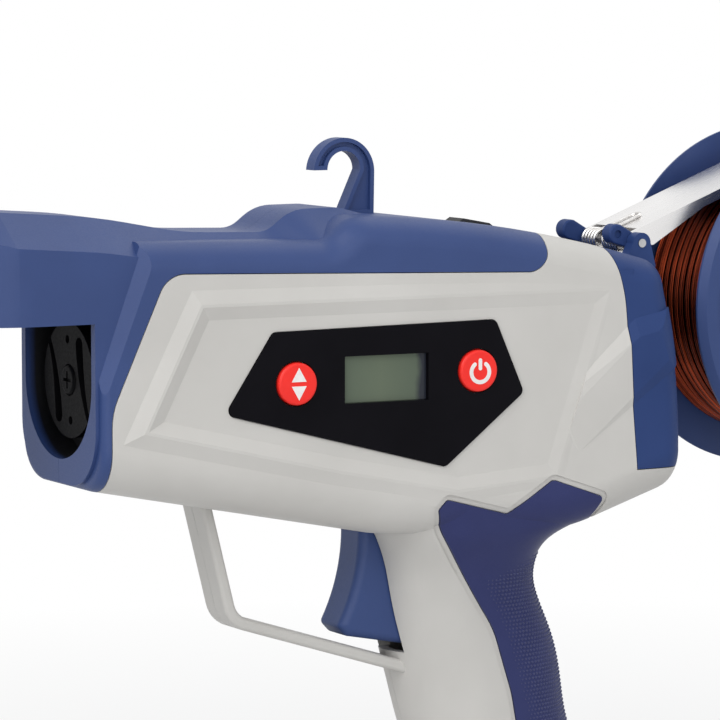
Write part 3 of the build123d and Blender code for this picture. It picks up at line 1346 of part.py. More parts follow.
def spool_axle():
    end = -SPOOL_HALF - RUN_GAP - KNOB_SOCKET
    body = rod_y(SPOOL_X, SPOOL_Z, AXLE_RADIUS, end, BRACKET_Y + BRACKET_THICK)
    return body + rod_y(SPOOL_X, SPOOL_Z, COLLAR_RADIUS, SPOOL_HALF + RUN_GAP, BRACKET_Y)


def spool_knob():
    y1 = -SPOOL_HALF - RUN_GAP
    body = rod_y(SPOOL_X, SPOOL_Z, KNOB_RADIUS, y1 - KNOB_LENGTH, y1)
    body = fillet(body.edges().filter_by(GeomType.CIRCLE).sort_by(Axis.Y)[0], KNOB_EDGE)
    for i in range(KNOB_FLUTES):
        x, z = on_circle(SPOOL_X, SPOOL_Z, KNOB_RADIUS + FLUTE_RADIUS - FLUTE_DEPTH, i * 360 / KNOB_FLUTES)
        body -= rod_y(x, z, FLUTE_RADIUS, -FAR, FAR)
    return body - rod_y(SPOOL_X, SPOOL_Z, AXLE_RADIUS + SHAFT_FIT, y1 - KNOB_SOCKET - POCKET_GAP, FAR)


def spool_bracket(outer):
    y0, y1 = BRACKET_Y, BRACKET_Y + BRACKET_THICK
    front, back = BRACKET_FOOT_X
    low, high = BRACKET_FOOT_Z
    foot_face = polygon(((front, low), (back, low), (back, high), (front, high)))
    hub = Pos(SPOOL_X, SPOOL_Z) * Circle(BRACKET_HUB)
    body = slab(make_hull([hub.edge()] + foot_face.edges()), y0, y1)
    body += block(front, back, BRACKET_FOOT_Y, y1, low, high)
    body = body - outer - rod_y(SPOOL_X, SPOOL_Z, AXLE_RADIUS + SHAFT_FIT, -FAR, FAR)
    for y, z in BRACKET_SCREWS:
        body -= rod_x(y, z, SCREW_RADIUS + SHAFT_FIT, 0, FAR)
    return max(body.solids(), key=lambda s: s.volume)


# Battery pack

def battery_slab(low, high, inset=0.0):
    plate = RectangleRounded(BATTERY_LENGTH - 2 * inset, BATTERY_WIDTH - 2 * inset, BATTERY_CORNER - inset)
    return extrude(Pos(BATTERY_X, 0, low) * plate, high - low)


def battery_front():
    return BATTERY_X - BATTERY_LENGTH / 2


def latch_block(x0, x1, grow):
    half, z = LATCH_HALF + grow, BATTERY_TOP - LATCH_DOWN
    return block(x0, x1, -half, half, z - LATCH_HEIGHT / 2 - grow, z + LATCH_HEIGHT / 2 + grow)


def battery_case():
    low, split_z = BATTERY_TOP - BATTERY_HEIGHT, BATTERY_TOP - BATTERY_LID
    body = battery_slab(low, split_z)
    body = chamfer(body.faces().sort_by(Axis.Z)[0].edges(), BATTERY_EDGE)
    body -= battery_slab(low + BATTERY_WALL, split_z, BATTERY_WALL)
    return body - latch_block(battery_front() - OVERCUT, battery_front() + BATTERY_WALL + OVERCUT, RUN_GAP)


def battery_lid():
    split_z = BATTERY_TOP - BATTERY_LID
    body = battery_slab(split_z, BATTERY_TOP)
    body = chamfer(body.faces().sort_by(Axis.Z)[-1].edges(), LID_EDGE)
    body -= battery_slab(split_z, BATTERY_TOP - BATTERY_WALL, BATTERY_WALL)
    body += block(RAIL_FRONT, RAIL_BACK, -RAIL_NECK, RAIL_NECK, BATTERY_TOP - OVERCUT,
                  BATTERY_TOP + RAIL_STEP)
    body += block(RAIL_FRONT, RAIL_BACK, -RAIL_HEAD, RAIL_HEAD, BATTERY_TOP + RAIL_STEP,
                  BATTERY_TOP + 2 * RAIL_STEP)
    for y in blade_rows():
        body -= block(RAIL_BACK - BLADE_LENGTH - OVERCUT, RAIL_BACK + OVERCUT, y - BLADE_THICK / 2 - RUN_GAP,
                      y + BLADE_THICK / 2 + RUN_GAP, BATTERY_TOP + RAIL_STEP, BATTERY_TOP + 3 * RAIL_STEP)
    return body


def blade_rows():
    return [(i - (BLADE_COUNT - 1) / 2) * BLADE_PITCH for i in range(BLADE_COUNT)]


def terminal_block():
    body = terminal_room()
    x1 = RAIL_BACK + RAIL_GAP
    low = BATTERY_TOP + RAIL_STEP + RUN_GAP
    for y in blade_rows():
        y0, y1 = y - BLADE_THICK / 2, y + BLADE_THICK / 2
        body += block(x1 - BLADE_LENGTH, x1, y0, y1, low, low + BLADE_HEIGHT)
    return body


def battery_cells():
    z = BATTERY_TOP - BATTERY_HEIGHT + BATTERY_WALL + RUN_GAP + CELL_RADIUS
    rows = [CELL_ROW_X + (i - (CELL_COUNT - 1) / 2) * CELL_PITCH for i in range(CELL_COUNT)]
    return Compound(children=[rod_y(x, z, CELL_RADIUS, -CELL_LENGTH / 2, CELL_LENGTH / 2) for x in rows])


def battery_latch():
    face = battery_front()
    inner = face + BATTERY_WALL + RUN_GAP
    body = latch_block(face - LATCH_PROUD, inner, 0)
    body = fillet(body.faces().sort_by(Axis.X)[0].edges(), LATCH_EDGE)
    return body + latch_block(inner, inner + LATCH_FLANGE, LATCH_LIP)


# Screws

def screw(length):
    """Round-headed screw along Z, the seat of its head at the origin."""
    body = Pos(0, 0, SCREW_HEAD_HEIGHT / 2) * Cylinder(SCREW_HEAD, SCREW_HEAD_HEIGHT)
    body = fillet(body.edges().sort_by(Axis.Z)[-1], SCREW_EDGE)
    body += Pos(0, 0, -length / 2) * Cylinder(SCREW_RADIUS, length)
    return body - Pos(0, 0, SCREW_HEAD_HEIGHT) * extrude(RegularPolygon(SCREW_RADIUS, 6), -SCREW_SOCKET)


def housing_screws():
    spots = COVER_SCREWS + HOUSING_SCREWS + GRIP_SCREWS
    one = Rot(-90, 0, 0) * screw(SCREW_LENGTH)
    return Compound(children=[Pos(x, SCREW_SEAT, z) * one for x, z in spots])


def rear_screws():
    one = screw(REAR_SCREW_LENGTH)
    return Compound(children=[Pos(REAR_SEAT_X, y, z) * Rot(0, 90, 0) * one for y, z in REAR_SCREWS])


def bracket_screws():
    seat = BRACKET_FOOT_X[1]
    one = screw(seat - BRACKET_SCREW_X)
    return Compound(children=[Pos(seat, y, z) * Rot(0, 90, 0) * one for y, z in BRACKET_SCREWS])


def shell_nodes():
    outer, hollow = outer_form(), wide_body(WALL)
    front, main = covers(outer, hollow), housing(outer, hollow)
    left = side_half(main, -1) + board_bosses(BOARD_BOX, BOARD_INSET) - panel_cuts() - rock_slot()
    right = side_half(main, 1) + mirrored(board_bosses(DRIVE_BOX, BOARD_INSET))
    return {
        "left_nose_cover": side_half(front, -1),
        "right_nose_cover": side_half(front, 1),
        "left_housing": left,
        "right_housing": right,
        "rear_cover": rear_cover(outer, hollow),
        "wire_inlet": wire_inlet(outer),
        "spool_bracket": spool_bracket(outer),
    }


NODES = shell_nodes()
NODES.update({
    "grip_overmould": grip_overmould(),
    "hanging_hook": hanging_hook(),
    "top_plug": plug_form(),
    "control_panel": control_panel(),
    "lcd_display": lcd_display(),
    "adjust_button": key(ADJUST_X, ADJUST_Z) + rock_pivot(),
    "power_button": key(POWER_X, POWER_Z),
    "control_board": board(BOARD_BOX),
    "key_switches": key_switches(),
    "drive_board": drive_board(),
    "trigger": trigger(),
    "trigger_pin": trigger_pin(),
    "trigger_switch": trigger_switch(),
    "twist_head": twist_head(),
    "head_screw": head_screw(),
    "twist_shaft": twist_shaft(),
    "twist_gear": twist_gear(),
    "motor_pinion": motor_pinion(),
    "front_bush": bush(cup_floor_x()),
    "rear_bush": bush(rear_bush_x()),
    "gear_frame": gear_frame(),
    "twist_motor": twist_motor(),
    "front_guide_tube": front_guide_tube(),
    "rear_guide_tube": rear_guide_tube(),
    "cutter_blade": cutter_blade(),
    "beak_guide": beak_guide(),
    "feed_motor": feed_motor(),
    "feed_roller": feed_roller(),
    "pinch_roller": pinch_roller(),
    "pinch_lever": pinch_lever(),
    "pinch_pin": pinch_pin(),
    "hinge_pin": hinge_pin(),
    "brake_arm": brake_arm(),
    "left_thumb_cap": thumb_cap(-1),
    "right_thumb_cap": thumb_cap(1),
    "brake_spring": brake_spring(),
    "spool_left_flange": spool_half(-1),
    "spool_right_flange": spool_half(1),
    "wire_core": wire_core(),
    "wire_outer_layer": wire_outer_layer(),
    "spool_axle": spool_axle(),
    "spool_knob": spool_knob(),
    "battery_case": battery_case(),
    "battery_lid": battery_lid(),
    "battery_cells": battery_cells(),
    "battery_latch": battery_latch(),
    "terminal_block": terminal_block(),
    "housing_screws": housing_screws(),
    "rear_screws": rear_screws(),
    "bracket_screws": bracket_screws(),
})

# The origin goes to the centre of the battery's base
TO_BASE = Pos(-BATTERY_X, 0, BATTERY_HEIGHT - BATTERY_TOP)
for name, part in NODES.items():
    export_step(TO_BASE * part, f"parts/{name}.step")
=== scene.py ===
"""Looks of the electric vine tying tool: finishes, key signs, knurl, winding, spring, stage and camera."""
import json
import math
import random

import bmesh
import bpy
from mathutils import Matrix, Vector
from mathutils.bvhtree import BVHTree


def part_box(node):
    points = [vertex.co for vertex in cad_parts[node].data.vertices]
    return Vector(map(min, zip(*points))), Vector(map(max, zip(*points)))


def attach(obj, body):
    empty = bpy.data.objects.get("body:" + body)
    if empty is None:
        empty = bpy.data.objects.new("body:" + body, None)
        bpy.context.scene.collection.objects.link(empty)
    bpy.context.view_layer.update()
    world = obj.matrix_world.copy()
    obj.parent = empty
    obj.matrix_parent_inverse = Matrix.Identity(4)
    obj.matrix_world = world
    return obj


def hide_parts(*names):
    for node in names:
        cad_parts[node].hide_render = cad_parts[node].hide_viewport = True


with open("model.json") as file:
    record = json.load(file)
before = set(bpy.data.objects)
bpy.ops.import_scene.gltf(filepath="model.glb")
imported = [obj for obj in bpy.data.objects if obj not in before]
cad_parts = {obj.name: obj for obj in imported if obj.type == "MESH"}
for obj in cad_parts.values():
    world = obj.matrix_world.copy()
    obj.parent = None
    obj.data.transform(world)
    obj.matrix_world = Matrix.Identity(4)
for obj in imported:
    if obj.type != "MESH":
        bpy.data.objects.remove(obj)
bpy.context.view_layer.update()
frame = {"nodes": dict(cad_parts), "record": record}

NODES = frame["nodes"]
MM = 0.001
WHITE = (1.0, 1.0, 1.0, 1.0)

# Sizes and places are in millimetres and degrees, in the part's own frame, unless a comment says otherwise.

# Origin of the part's own frame, seen from the point under the battery
BASE_SHIFT = Vector((-50.0, 0.0, 166.0))

# Camera of the photograph; its target, and where its view starts and ends, are in metres of the scene
CAMERA_TARGET = BASE_SHIFT * MM
CAMERA_AZIMUTH = -29.0
CAMERA_ELEVATION = 5.5
CAMERA_DISTANCE = 1140.0
CAMERA_LENS = 200.0
CAMERA_SENSOR = 36.0
CAMERA_CLIP = (0.05, 200.0)

# Blue plastic, with a darker and less glossy copy on the rear cover and the thumb caps: the darker colour is
# painted shade
BLUE_DARK = (0.0215, 0.0465, 0.155)
BLUE_LIGHT = (0.0275, 0.0565, 0.180)
BLUE_GLOSS = 0.4
REAR_SHADE = 0.93
REAR_GLOSS = 0.16

# Nose cup: the nose covers go over to near black from just inside the rim inwards
CUP_BLACK = (0.0035, 0.0035, 0.005, 1.0)
CUP_RIM_X = -93.5
CUP_DARK_X = -91.3
CUP_END_X = -80.0
CUP_HALF = 22.7
CUP_LOW_Z = -24.5
CUP_HIGH_Z = 16.3
CUP_EDGE = 0.1

# Display window
DISPLAY_LENGTH = 26.0
DISPLAY_FROM_POWER = 28.4

# Key signs: two arrows, and an open ring with a bar; the ray that finds a key's face starts at the stand-off
ARROW_HALF = 2.25
ARROW_FOOT = 0.6
ARROW_TIP = 4.5
RING_OUTER = 3.4
RING_INNER = 2.25
RING_OPENING = 38.0
RING_STEPS = 48
ROUND_END_STEPS = 8
BAR_HALF = 0.55
BAR_LOW = 0.5
BAR_HIGH = 3.9
POWER_SIGN_DROP = 0.35
SIGN_RISE = 0.1
SIGN_ROOT = 0.1
SIGN_SHARP_ANGLE = 30.0
KEY_STAND_OFF = 50.0

# Wire winding: a close layer below and small groups of turns over it
WIRE_RADIUS = 0.5
WIRE_PITCH = 1.02
WINDING_HALF = 20.0
UNDER_RADIUS = 40.7
UNDER_SIDES = 6
OVER_RADIUS = 42.0
OVER_SIDES = 8
WINDING_STEPS = 72
GROUP_TURNS = (2, 2, 3)
GROUP_GAP = (0.35, 1.15)
GROUP_SINK = 0.45
TURN_WANDER = 0.05
CROSSING_START = -50.0
CROSSING_SHARE = 0.28
WINDING_SEED = 11

# Spring of the press arm, in the arm's own frame
BRAKE_TILT = 21.0
SPRING_WIRE = 0.5
SPRING_SIDES = 12
SPRING_RADIUS = 2.85
SPRING_TURNS = 4.25
SPRING_PITCH = 1.6
SPRING_START = 2.0
SPRING_LOOP = 11.0
SPRING_LEG = 2.0
SPRING_TURN_STEPS = 36
SPRING_RUN_STEPS = 8
SPRING_LEG_STEPS = 3
SPRING_LOOP_STEPS = 12

# Knurl of the rubber skin: rows of small domes; the rings of a dome are shares of its radius and its rise
KNURL_PITCH = 1.35
KNURL_ROW = 1.17
KNURL_JUMP = 2.0
KNURL_RADIUS = 0.46
KNURL_RISE = 0.34
KNURL_SIDES = 6
KNURL_RINGS = ((1.0, -0.12), (0.62, 0.72))
KNURL_SHARP_ANGLE = 90.0
KNURL_TOP_Z = -57.0
KNURL_LOW_Z = -123.0
KNURL_FRONT = ((28.5, -63.3), (37.8, -78.0), (44.6, -97.0), (50.2, -124.0))
KNURL_SLOPE = 0.38
KNURL_FADE = 5.0
KNURL_SMALLEST = 0.55

# Rays towards the grip's axis, one a degree, that find the skin's surface
GRIP_AXIS_TOP = (31.0, -57.0)
GRIP_AXIS_LOW = (49.5, -134.0)
GRIP_REACH = 90.0
GRIP_SWEEP = 150
GRIP_FACING = 0.1

# Floor, in metres: white to the eye far from the object, with the object's shadow on it near by
FLOOR_REACH = 60.0
FLOOR_Z = -0.0005
FLOOR_COLOUR = (0.72, 0.72, 0.72, 1.0)
FLOOR_WHITE = 0.7
FLOOR_FADE = (0.2, 0.6)

# Light: the surroundings, and lamps as name, azimuth, elevation, distance and size in metres, and power
AMBIENT = 0.5
AMBIENT_COLOUR = (0.97, 0.985, 1.0, 1.0)
LAMPS = (
    ("key", -62.0, 42.0, 1.6, 1.2, 12.6),
    ("fill", -8.0, 24.0, 1.8, 1.9, 8.2),
    ("low", -30.0, 3.0, 1.9, 1.2, 4.4),
    ("back", 100.0, 52.0, 1.8, 1.8, 7.0),
)

# Most values of a noise texture lie between these two
NOISE_SPAN = (0.3, 0.7)


def to_row(point):
    """A point of the part's own frame, in millimetres, as a point of the scene."""
    return (Vector(point) + BASE_SHIFT) * MM


def middle(node):
    """Middle of a node's box in the scene."""
    low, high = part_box(node)
    return (low + high) / 2


# Shader nodes

def node_tree(owner):
    """Emptied node tree of a material or a world."""
    owner.use_nodes = True
    owner.node_tree.nodes.clear()
    return owner.node_tree


def feed(tree, node, **inputs):
    """Set a node's sockets by name: a value stays on the socket, a socket is linked to it."""
    for label, value in inputs.items():
        socket = node.inputs[label.replace("_", " ")]
        if isinstance(value, bpy.types.NodeSocket):
            tree.links.new(value, socket)
        else:
            socket.default_value = value


def add(tree, kind, **inputs):
    """A new node with its sockets set."""
    node = tree.nodes.new(kind)
    feed(tree, node, **inputs)
    return node


def place(tree, stretch=(1.0, 1.0, 1.0), turn=0.0):
    """Texture coordinates in metres of the scene, turned about Y and stretched."""
    spot = add(tree, "ShaderNodeTexCoord").outputs["Object"]
    turned = add(tree, "ShaderNodeMapping", Vector=spot, Rotation=(0.0, math.radians(turn), 0.0))
    return add(tree, "ShaderNodeMapping", Vector=turned.outputs["Vector"], Scale=stretch).outputs["Vector"]


def noise(tree, spot, scale, detail=3.0, rough=0.55):
    """Noise between 0 and 1 over texture coordinates."""
    node = add(tree, "ShaderNodeTexNoise", Vector=spot, Scale=scale, Detail=detail, Roughness=rough)
    return node.outputs["Fac"]


def ramp(tree, value, *stops):
    """Colours over a value: stops are (position, colour)."""
    node = add(tree, "ShaderNodeValToRGB", Fac=value)
    elements = node.color_ramp.elements
    while len(elements) < len(stops):
        elements.new(0.5)
    for element, (position, colour) in zip(elements, stops):
        element.position = position
        element.color = (*colour, 1.0)
    return node.outputs["Color"]


def remap(tree, value, low, high, span=NOISE_SPAN):
    """Low to high while a value goes over the span."""
    start, end = span
    node = add(tree, "ShaderNodeMapRange", Value=value, From_Min=start, From_Max=end, To_Min=low, To_Max=high)
    return node.outputs["Result"]


def combine(tree, operation, first, second):
    """Two values put together by a sum, a product or the like."""
    node = add(tree, "ShaderNodeMath", Value=first)
    node.operation = operation
    tree.links.new(second, node.inputs[1])
    return node.outputs["Value"]


def within(tree, value, low, high, soft):
    """1 between two values, 0 outside them, with soft edges."""
    rise = remap(tree, value, 0.0, 1.0, span=(low, low + soft))
    fall = remap(tree, value, 1.0, 0.0, span=(high - soft, high))
    return combine(tree, "MULTIPLY", rise, fall)


def mix_colours(tree, factor, first, second):
    """The first colour, a socket, where the factor is 0, and the second, a value, where it is 1."""
    node = add(tree, "ShaderNodeMix", Factor=factor)
    node.data_type = "RGBA"
    from_socket, to_socket = (socket for socket in node.inputs if socket.type == "RGBA")
    tree.links.new(first, from_socket)
    to_socket.default_value = second
    return next(socket for socket in node.outputs if socket.type == "RGBA")


def mix_shaders(tree, output, factor, first, second):
    """The output node, with the first shader where the factor is 0 and the second where it is 1."""
    mixed = add(tree, "ShaderNodeMixShader", Fac=factor)
    tree.links.new(first, mixed.inputs[1])
    tree.links.new(second, mixed.inputs[2])
    add(tree, output, Surface=mixed.outputs["Shader"])


def relief(tree, shader, height, strength, depth):
    """Bump from a height; depth in millimetres."""
    bump = add(tree, "ShaderNodeBump", Height=height, Strength=strength, Distance=depth * MM)
    feed(tree, shader, Normal=bump.outputs["Normal"])


# Materials

def material(name):
    """A new material, its node tree and its shader."""
    made = bpy.data.materials.new(name)
    tree = node_tree(made)
    shader = add(tree, "ShaderNodeBsdfPrincipled")
    add(tree, "ShaderNodeOutputMaterial", Surface=shader.outputs["BSDF"])
    return made, tree, shader


def finish(name, dark, light, rough, patch=30.0, grain=1800.0, strength=0.2, depth=0.05,
           stretch=(1.0, 1.0, 1.0), turn=0.0, spread=NOISE_SPAN, **fixed):
    """A moulded, cast or drawn surface: colour drifts in patches, gloss and relief follow a fine grain."""
    made, tree, shader = material(name)
    spot = place(tree, stretch, turn)
    drift = noise(tree, spot, patch)
    fine = noise(tree, spot, grain, detail=4.0)
    colour = ramp(tree, drift, *zip(spread, (dark, light)))
    feed(tree, shader, Base_Color=colour, Roughness=remap(tree, fine, *rough), **fixed)
    relief(tree, shader, fine, strength, depth)
    return made


def blue_plastic(name="blue_plastic", shade=1.0, gloss=BLUE_GLOSS):
    dark, light = ([part * shade for part in colour] for colour in (BLUE_DARK, BLUE_LIGHT))
    return finish(name, dark, light, rough=(0.42, 0.56), grain=2200.0, strength=0.35, depth=0.06,
                  Specular_IOR_Level=gloss)


def in_cup(tree):
    """1 inside the nose cup, 0 outside it."""
    spot = add(tree, "ShaderNodeSeparateXYZ", Vector=place(tree)).outputs
    rim, dark, end = (to_row((x, 0.0, 0.0)).x for x in (CUP_RIM_X, CUP_DARK_X, CUP_END_X))
    low, high = (to_row((0.0, 0.0, z)).z for z in (CUP_LOW_Z, CUP_HIGH_Z))
    along = within(tree, spot["X"], rim, end, dark - rim)
    across = within(tree, spot["Y"], -CUP_HALF * MM, CUP_HALF * MM, CUP_EDGE * MM)
    upright = within(tree, spot["Z"], low, high, CUP_EDGE * MM)
    return combine(tree, "MULTIPLY", combine(tree, "MULTIPLY", along, across), upright)


def nose_plastic():
    """Blue plastic of the nose covers, going over to near black inside the cup round the twisting head."""
    made = blue_plastic("nose_plastic")
    tree = made.node_tree
    shader = next(node for node in tree.nodes if node.type == "BSDF_PRINCIPLED")
    blue = shader.inputs["Base Color"].links[0].from_socket
    feed(tree, shader, Base_Color=mix_colours(tree, in_cup(tree), blue, CUP_BLACK))
    return made


def grey_plastic():
    return finish("grey_plastic", dark=(0.515, 0.502, 0.478), light=(0.56, 0.547, 0.522), rough=(0.40, 0.52),
                  grain=2600.0, strength=0.2, depth=0.04, Specular_IOR_Level=0.35)


def black_plastic():
    return finish("black_plastic", dark=(0.012, 0.012, 0.014), light=(0.022, 0.022, 0.025), rough=(0.45, 0.6),
                  grain=2400.0, strength=0.4, depth=0.05, Specular_IOR_Level=0.3)


def rubber_skin():
    return finish("rubber_skin", dark=(0.017, 0.023, 0.100), light=(0.023, 0.031, 0.121), rough=(0.62, 0.78),
                  grain=3200.0, strength=0.3, depth=0.05, Specular_IOR_Level=0.36, Sheen_Weight=0.4,
                  Sheen_Roughness=0.3)


def knurl_rubber_painted_highlight():
    """The same rubber, smoother on the small domes, and a touch lighter there as painted highlight."""
    return finish("knurl_rubber_painted_highlight", dark=(0.019, 0.025, 0.104), light=(0.026, 0.034, 0.126), rough=(0.36, 0.5),
                  grain=3200.0, strength=0.15, depth=0.03, Specular_IOR_Level=0.5)


def red_plastic():
    return finish("red_plastic", dark=(0.80, 0.018, 0.012), light=(0.89, 0.026, 0.018), rough=(0.34, 0.46),
                  patch=90.0, grain=1500.0, strength=0.12, depth=0.04, Specular_IOR_Level=0.35)


def sign_white():
    return finish("sign_white", dark=(0.74, 0.72, 0.70), light=(0.84, 0.82, 0.80), rough=(0.45, 0.6),
                  patch=400.0, grain=4000.0, strength=0.15, depth=0.02)


def polished_steel():
    """Steel of the press arm, drawn along the arm."""
    return finish("polished_steel", dark=(0.78, 0.77, 0.765), light=(0.85, 0.84, 0.835), rough=(0.268, 0.276),
                  patch=60.0, grain=900.0, strength=0.004, depth=0.02, stretch=(0.06, 1.0, 1.0),
                  turn=BRAKE_TILT, Metallic=1.0)


def spring_steel():
    return finish("spring_steel", dark=(0.62, 0.60, 0.58), light=(0.80, 0.79, 0.78), rough=(0.16, 0.3),
                  patch=300.0, grain=2500.0, strength=0.12, depth=0.02, Metallic=1.0)


def steel():
    return finish("steel", dark=(0.42, 0.42, 0.43), light=(0.56, 0.56, 0.57), rough=(0.24, 0.4), patch=80.0,
                  grain=1400.0, strength=0.12, depth=0.02, stretch=(1.0, 0.1, 1.0), Metallic=1.0)


def black_steel():
    """Blackened steel of the twisting head, with a trace of bare metal where the wire rubs."""
    made, tree, shader = material("black_steel")
    spot = place(tree)
    fine = noise(tree, spot, scale=1500.0, detail=5.0)
    worn = noise(tree, spot, scale=260.0, detail=6.0, rough=0.7)
    colour = ramp(tree, worn, (0.0, (0.003, 0.003, 0.0035)), (0.62, (0.005, 0.005, 0.006)),
                  (0.8, (0.014, 0.013, 0.013)))
    feed(tree, shader, Base_Color=colour, Roughness=remap(tree, fine, 0.34, 0.55), Specular_IOR_Level=0.03)
    relief(tree, shader, fine, strength=0.35, depth=0.04)
    return made


def brass_bush():
    return finish("brass_bush", dark=(0.46, 0.29, 0.09), light=(0.60, 0.40, 0.15), rough=(0.25, 0.4),
                  grain=1600.0, strength=0.1, depth=0.02, Metallic=1.0)


def aluminium_part():
    return finish("aluminium_part", dark=(0.48, 0.48, 0.49), light=(0.60, 0.60, 0.61), rough=(0.32, 0.5),
                  grain=2200.0, strength=0.25, depth=0.04, Metallic=1.0)


def cell_can():
    return finish("cell_can", dark=(0.055, 0.075, 0.17), light=(0.085, 0.11, 0.22), rough=(0.25, 0.4),
                  grain=900.0, strength=0.1, depth=0.03)


def board():
    """Solder mask with the light lines of its tracks."""
    made, tree, shader = material("board")
    spot = place(tree)
    tracks = add(tree, "ShaderNodeTexBrick", Vector=spot, Scale=160.0).outputs["Fac"]
    colour = ramp(tree, tracks, (0.0, (0.010, 0.075, 0.028)), (1.0, (0.03, 0.16, 0.06)))
    fine = noise(tree, spot, scale=600.0)
    feed(tree, shader, Base_Color=colour, Roughness=remap(tree, fine, 0.25, 0.45))
    relief(tree, shader, tracks, strength=0.3, depth=0.05)
    return made


def panel_black():
    """Smooth black film with faint rubbed lines."""
    made, tree, shader = material("panel_black")
    lines = noise(tree, place(tree, stretch=(1.0, 1.0, 0.05), turn=35.0), scale=1800.0, detail=2.0)
    drift = noise(tree, place(tree), scale=45.0)
    colour = ramp(tree, drift, (0.3, (0.0030, 0.0027, 0.0042)), (0.7, (0.0048, 0.0044, 0.0064)))
    gloss = remap(tree, lines, 0.30, 0.36, span=(0.45, 0.75))
    feed(tree, shader, Base_Color=colour, Roughness=gloss, Specular_IOR_Level=0.05)
    relief(tree, shader, lines, strength=0.015, depth=0.02)
    return made


def display_span():
    """First and last X of the display's window, which lies in front of the power key."""
    centre = middle("power_button").x - DISPLAY_FROM_POWER * MM
    half = DISPLAY_LENGTH * MM / 2
    return centre - half, centre + half


def display():
    """Unlit grey-green display that darkens towards its rear edge, where a dark strip is the painted shadow
    of its recess wall.
    """
    made, tree, shader = material("display")
    spot = place(tree)
    across = add(tree, "ShaderNodeSeparateXYZ", Vector=spot).outputs["X"]
    shade = remap(tree, across, 0.0, 1.0, span=display_span())
    cloud = remap(tree, noise(tree, spot, scale=140.0, detail=2.0), -0.02, 0.02)
    # The last, dark stop is the painted shadow of the recess wall
    colour = ramp(tree, combine(tree, "ADD", shade, cloud), (0.0, (0.094, 0.122, 0.087)),
                  (0.45, (0.110, 0.138, 0.095)), (0.86, (0.090, 0.116, 0.083)), (0.93, (0.019, 0.022, 0.032)))
    fine = noise(tree, spot, scale=900.0)
    feed(tree, shader, Base_Color=colour, Roughness=remap(tree, fine, 0.16, 0.24), Specular_IOR_Level=0.25)
    return made


def wire_coat():
    """Brown lacquered wire, lighter and darker from turn to turn: a random tone, made strong enough to stand
    as painted shade between the turns.
    """
    return finish("wire_coat", dark=(0.045, 0.006, 0.003), light=(0.29, 0.047, 0.017), rough=(0.20, 0.30),
                  patch=330.0, grain=700.0, strength=0.12, depth=0.03, stretch=(0.03, 1.0, 0.03),
                  spread=(0.36, 0.64), Metallic=1.0)


def wire_shade():
    """The same wire deeper in the winding, where little light reaches it."""
    return finish("wire_shade", dark=(0.008, 0.0015, 0.001), light=(0.018, 0.003, 0.002), rough=(0.4, 0.55),
                  patch=120.0, grain=700.0, strength=0.12, depth=0.03, Specular_IOR_Level=0.05)


FINISHES = {
    "blue_plastic": blue_plastic(),
    "grey_plastic": grey_plastic(),
    "black_plastic": black_plastic(),
    "rubber_skin": rubber_skin(),
    "panel_black": panel_black(),
    "red_plastic": red_plastic(),
    "display": display(),
    "polished_steel": polished_steel(),
    "steel": steel(),
    "brass_bush": brass_bush(),
    "board": board(),
    "wire": wire_coat(),
    "cell_can": cell_can(),
    "aluminium_part": aluminium_part(),
}
BLACKENED = black_steel()
NOSE = nose_plastic()
SHADED_WIRE = wire_shade()
KNURL = knurl_rubber_painted_highlight()
SIGN = sign_white()
SPRING = spring_steel()
# Darker copy of the blue on the rear cover and the thumb caps: painted shade
REAR = blue_plastic("rear_plastic_painted_shade", REAR_SHADE, REAR_GLOSS)
SPECIAL = {
    "twist_head": BLACKENED,
    "head_screw": BLACKENED,
    "left_nose_cover": NOSE,
    "right_nose_cover": NOSE,
    "rear_cover": REAR,
    "left_thumb_cap": REAR,
    "right_thumb_cap": REAR,
}


def dress_nodes():
    """Give each CAD node its own finish, or that of its material slot."""
    for row in frame["record"]["subparts"]:
        node = NODES[row["node"]]
        chosen = SPECIAL.get(row["node"], FINISHES[row["material_slot"]])
        if not node.material_slots:
            node.data.materials.append(chosen)
        for held in node.material_slots:
            held.material = chosen


# Mesh helpers

def piece(name, mesh, look, body):
    """A new smooth piece that rides on a body."""
    made = bpy.data.objects.new(name, mesh)
    bpy.context.scene.collection.objects.link(made)
    mesh.materials.append(look)
    mesh.shade_smooth()
    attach(made, body)
    return made


def to_mesh(shape, name):
    """Mesh of a finished bmesh."""
    mesh = bpy.data.meshes.new(name)
    shape.to_mesh(mesh)
    shape.free()
    return mesh


def ring(shape, centre, side, other, radius, sides):
    """New points on a circle, in the plane of two directions."""
    turns = [2 * math.pi * k / sides for k in range(sides)]
    return [shape.verts.new(centre + (side * math.cos(t) + other * math.sin(t)) * radius) for t in turns]


def band(shape, first, second):
    """Faces between two closed rows of points."""
    for k in range(len(first)):
        after = (k + 1) % len(first)
        shape.faces.new((first[k], first[after], second[after], second[k]))


def tube(points, radius, sides):
    """Round tube along points, with closed ends."""
    shape = bmesh.new()
    rings = []
    side = (points[1] - points[0]).orthogonal().normalized()
    for i, point in enumerate(points):
        ahead = (points[min(i + 1, len(points) - 1)] - points[max(i - 1, 0)]).normalized()
        side = (side - ahead * side.dot(ahead)).normalized()
        rings.append(ring(shape, point, side, ahead.cross(side), radius, sides))
    for first, second in zip(rings, rings[1:]):
        band(shape, first, second)
    shape.faces.new(rings[0][::-1])
    shape.faces.new(rings[-1])
    return to_mesh(shape, "tube")


def surface_tree(node):
    """Search tree of a node's surface, for rays."""
    mesh = NODES[node].data
    return BVHTree.FromPolygons([v.co for v in mesh.vertices], [p.vertices for p in mesh.polygons])


# Key signs

def on_key(node):
    """Place on the outer face of a key: X along the flank, Y up, Z outwards."""
    start = middle(node)
    start.y -= KEY_STAND_OFF * MM
    spot, outward, _, _ = surface_tree(node).ray_cast(start, Vector((0, 1, 0)))
    if outward.y > 0:
        outward = -outward
    up = Vector((0, 0, 1))
    along = up.cross(outward).normalized()
    turned = Matrix((along, up, outward)).transposed().to_4x4()
    return Matrix.Translation(spot) @ turned


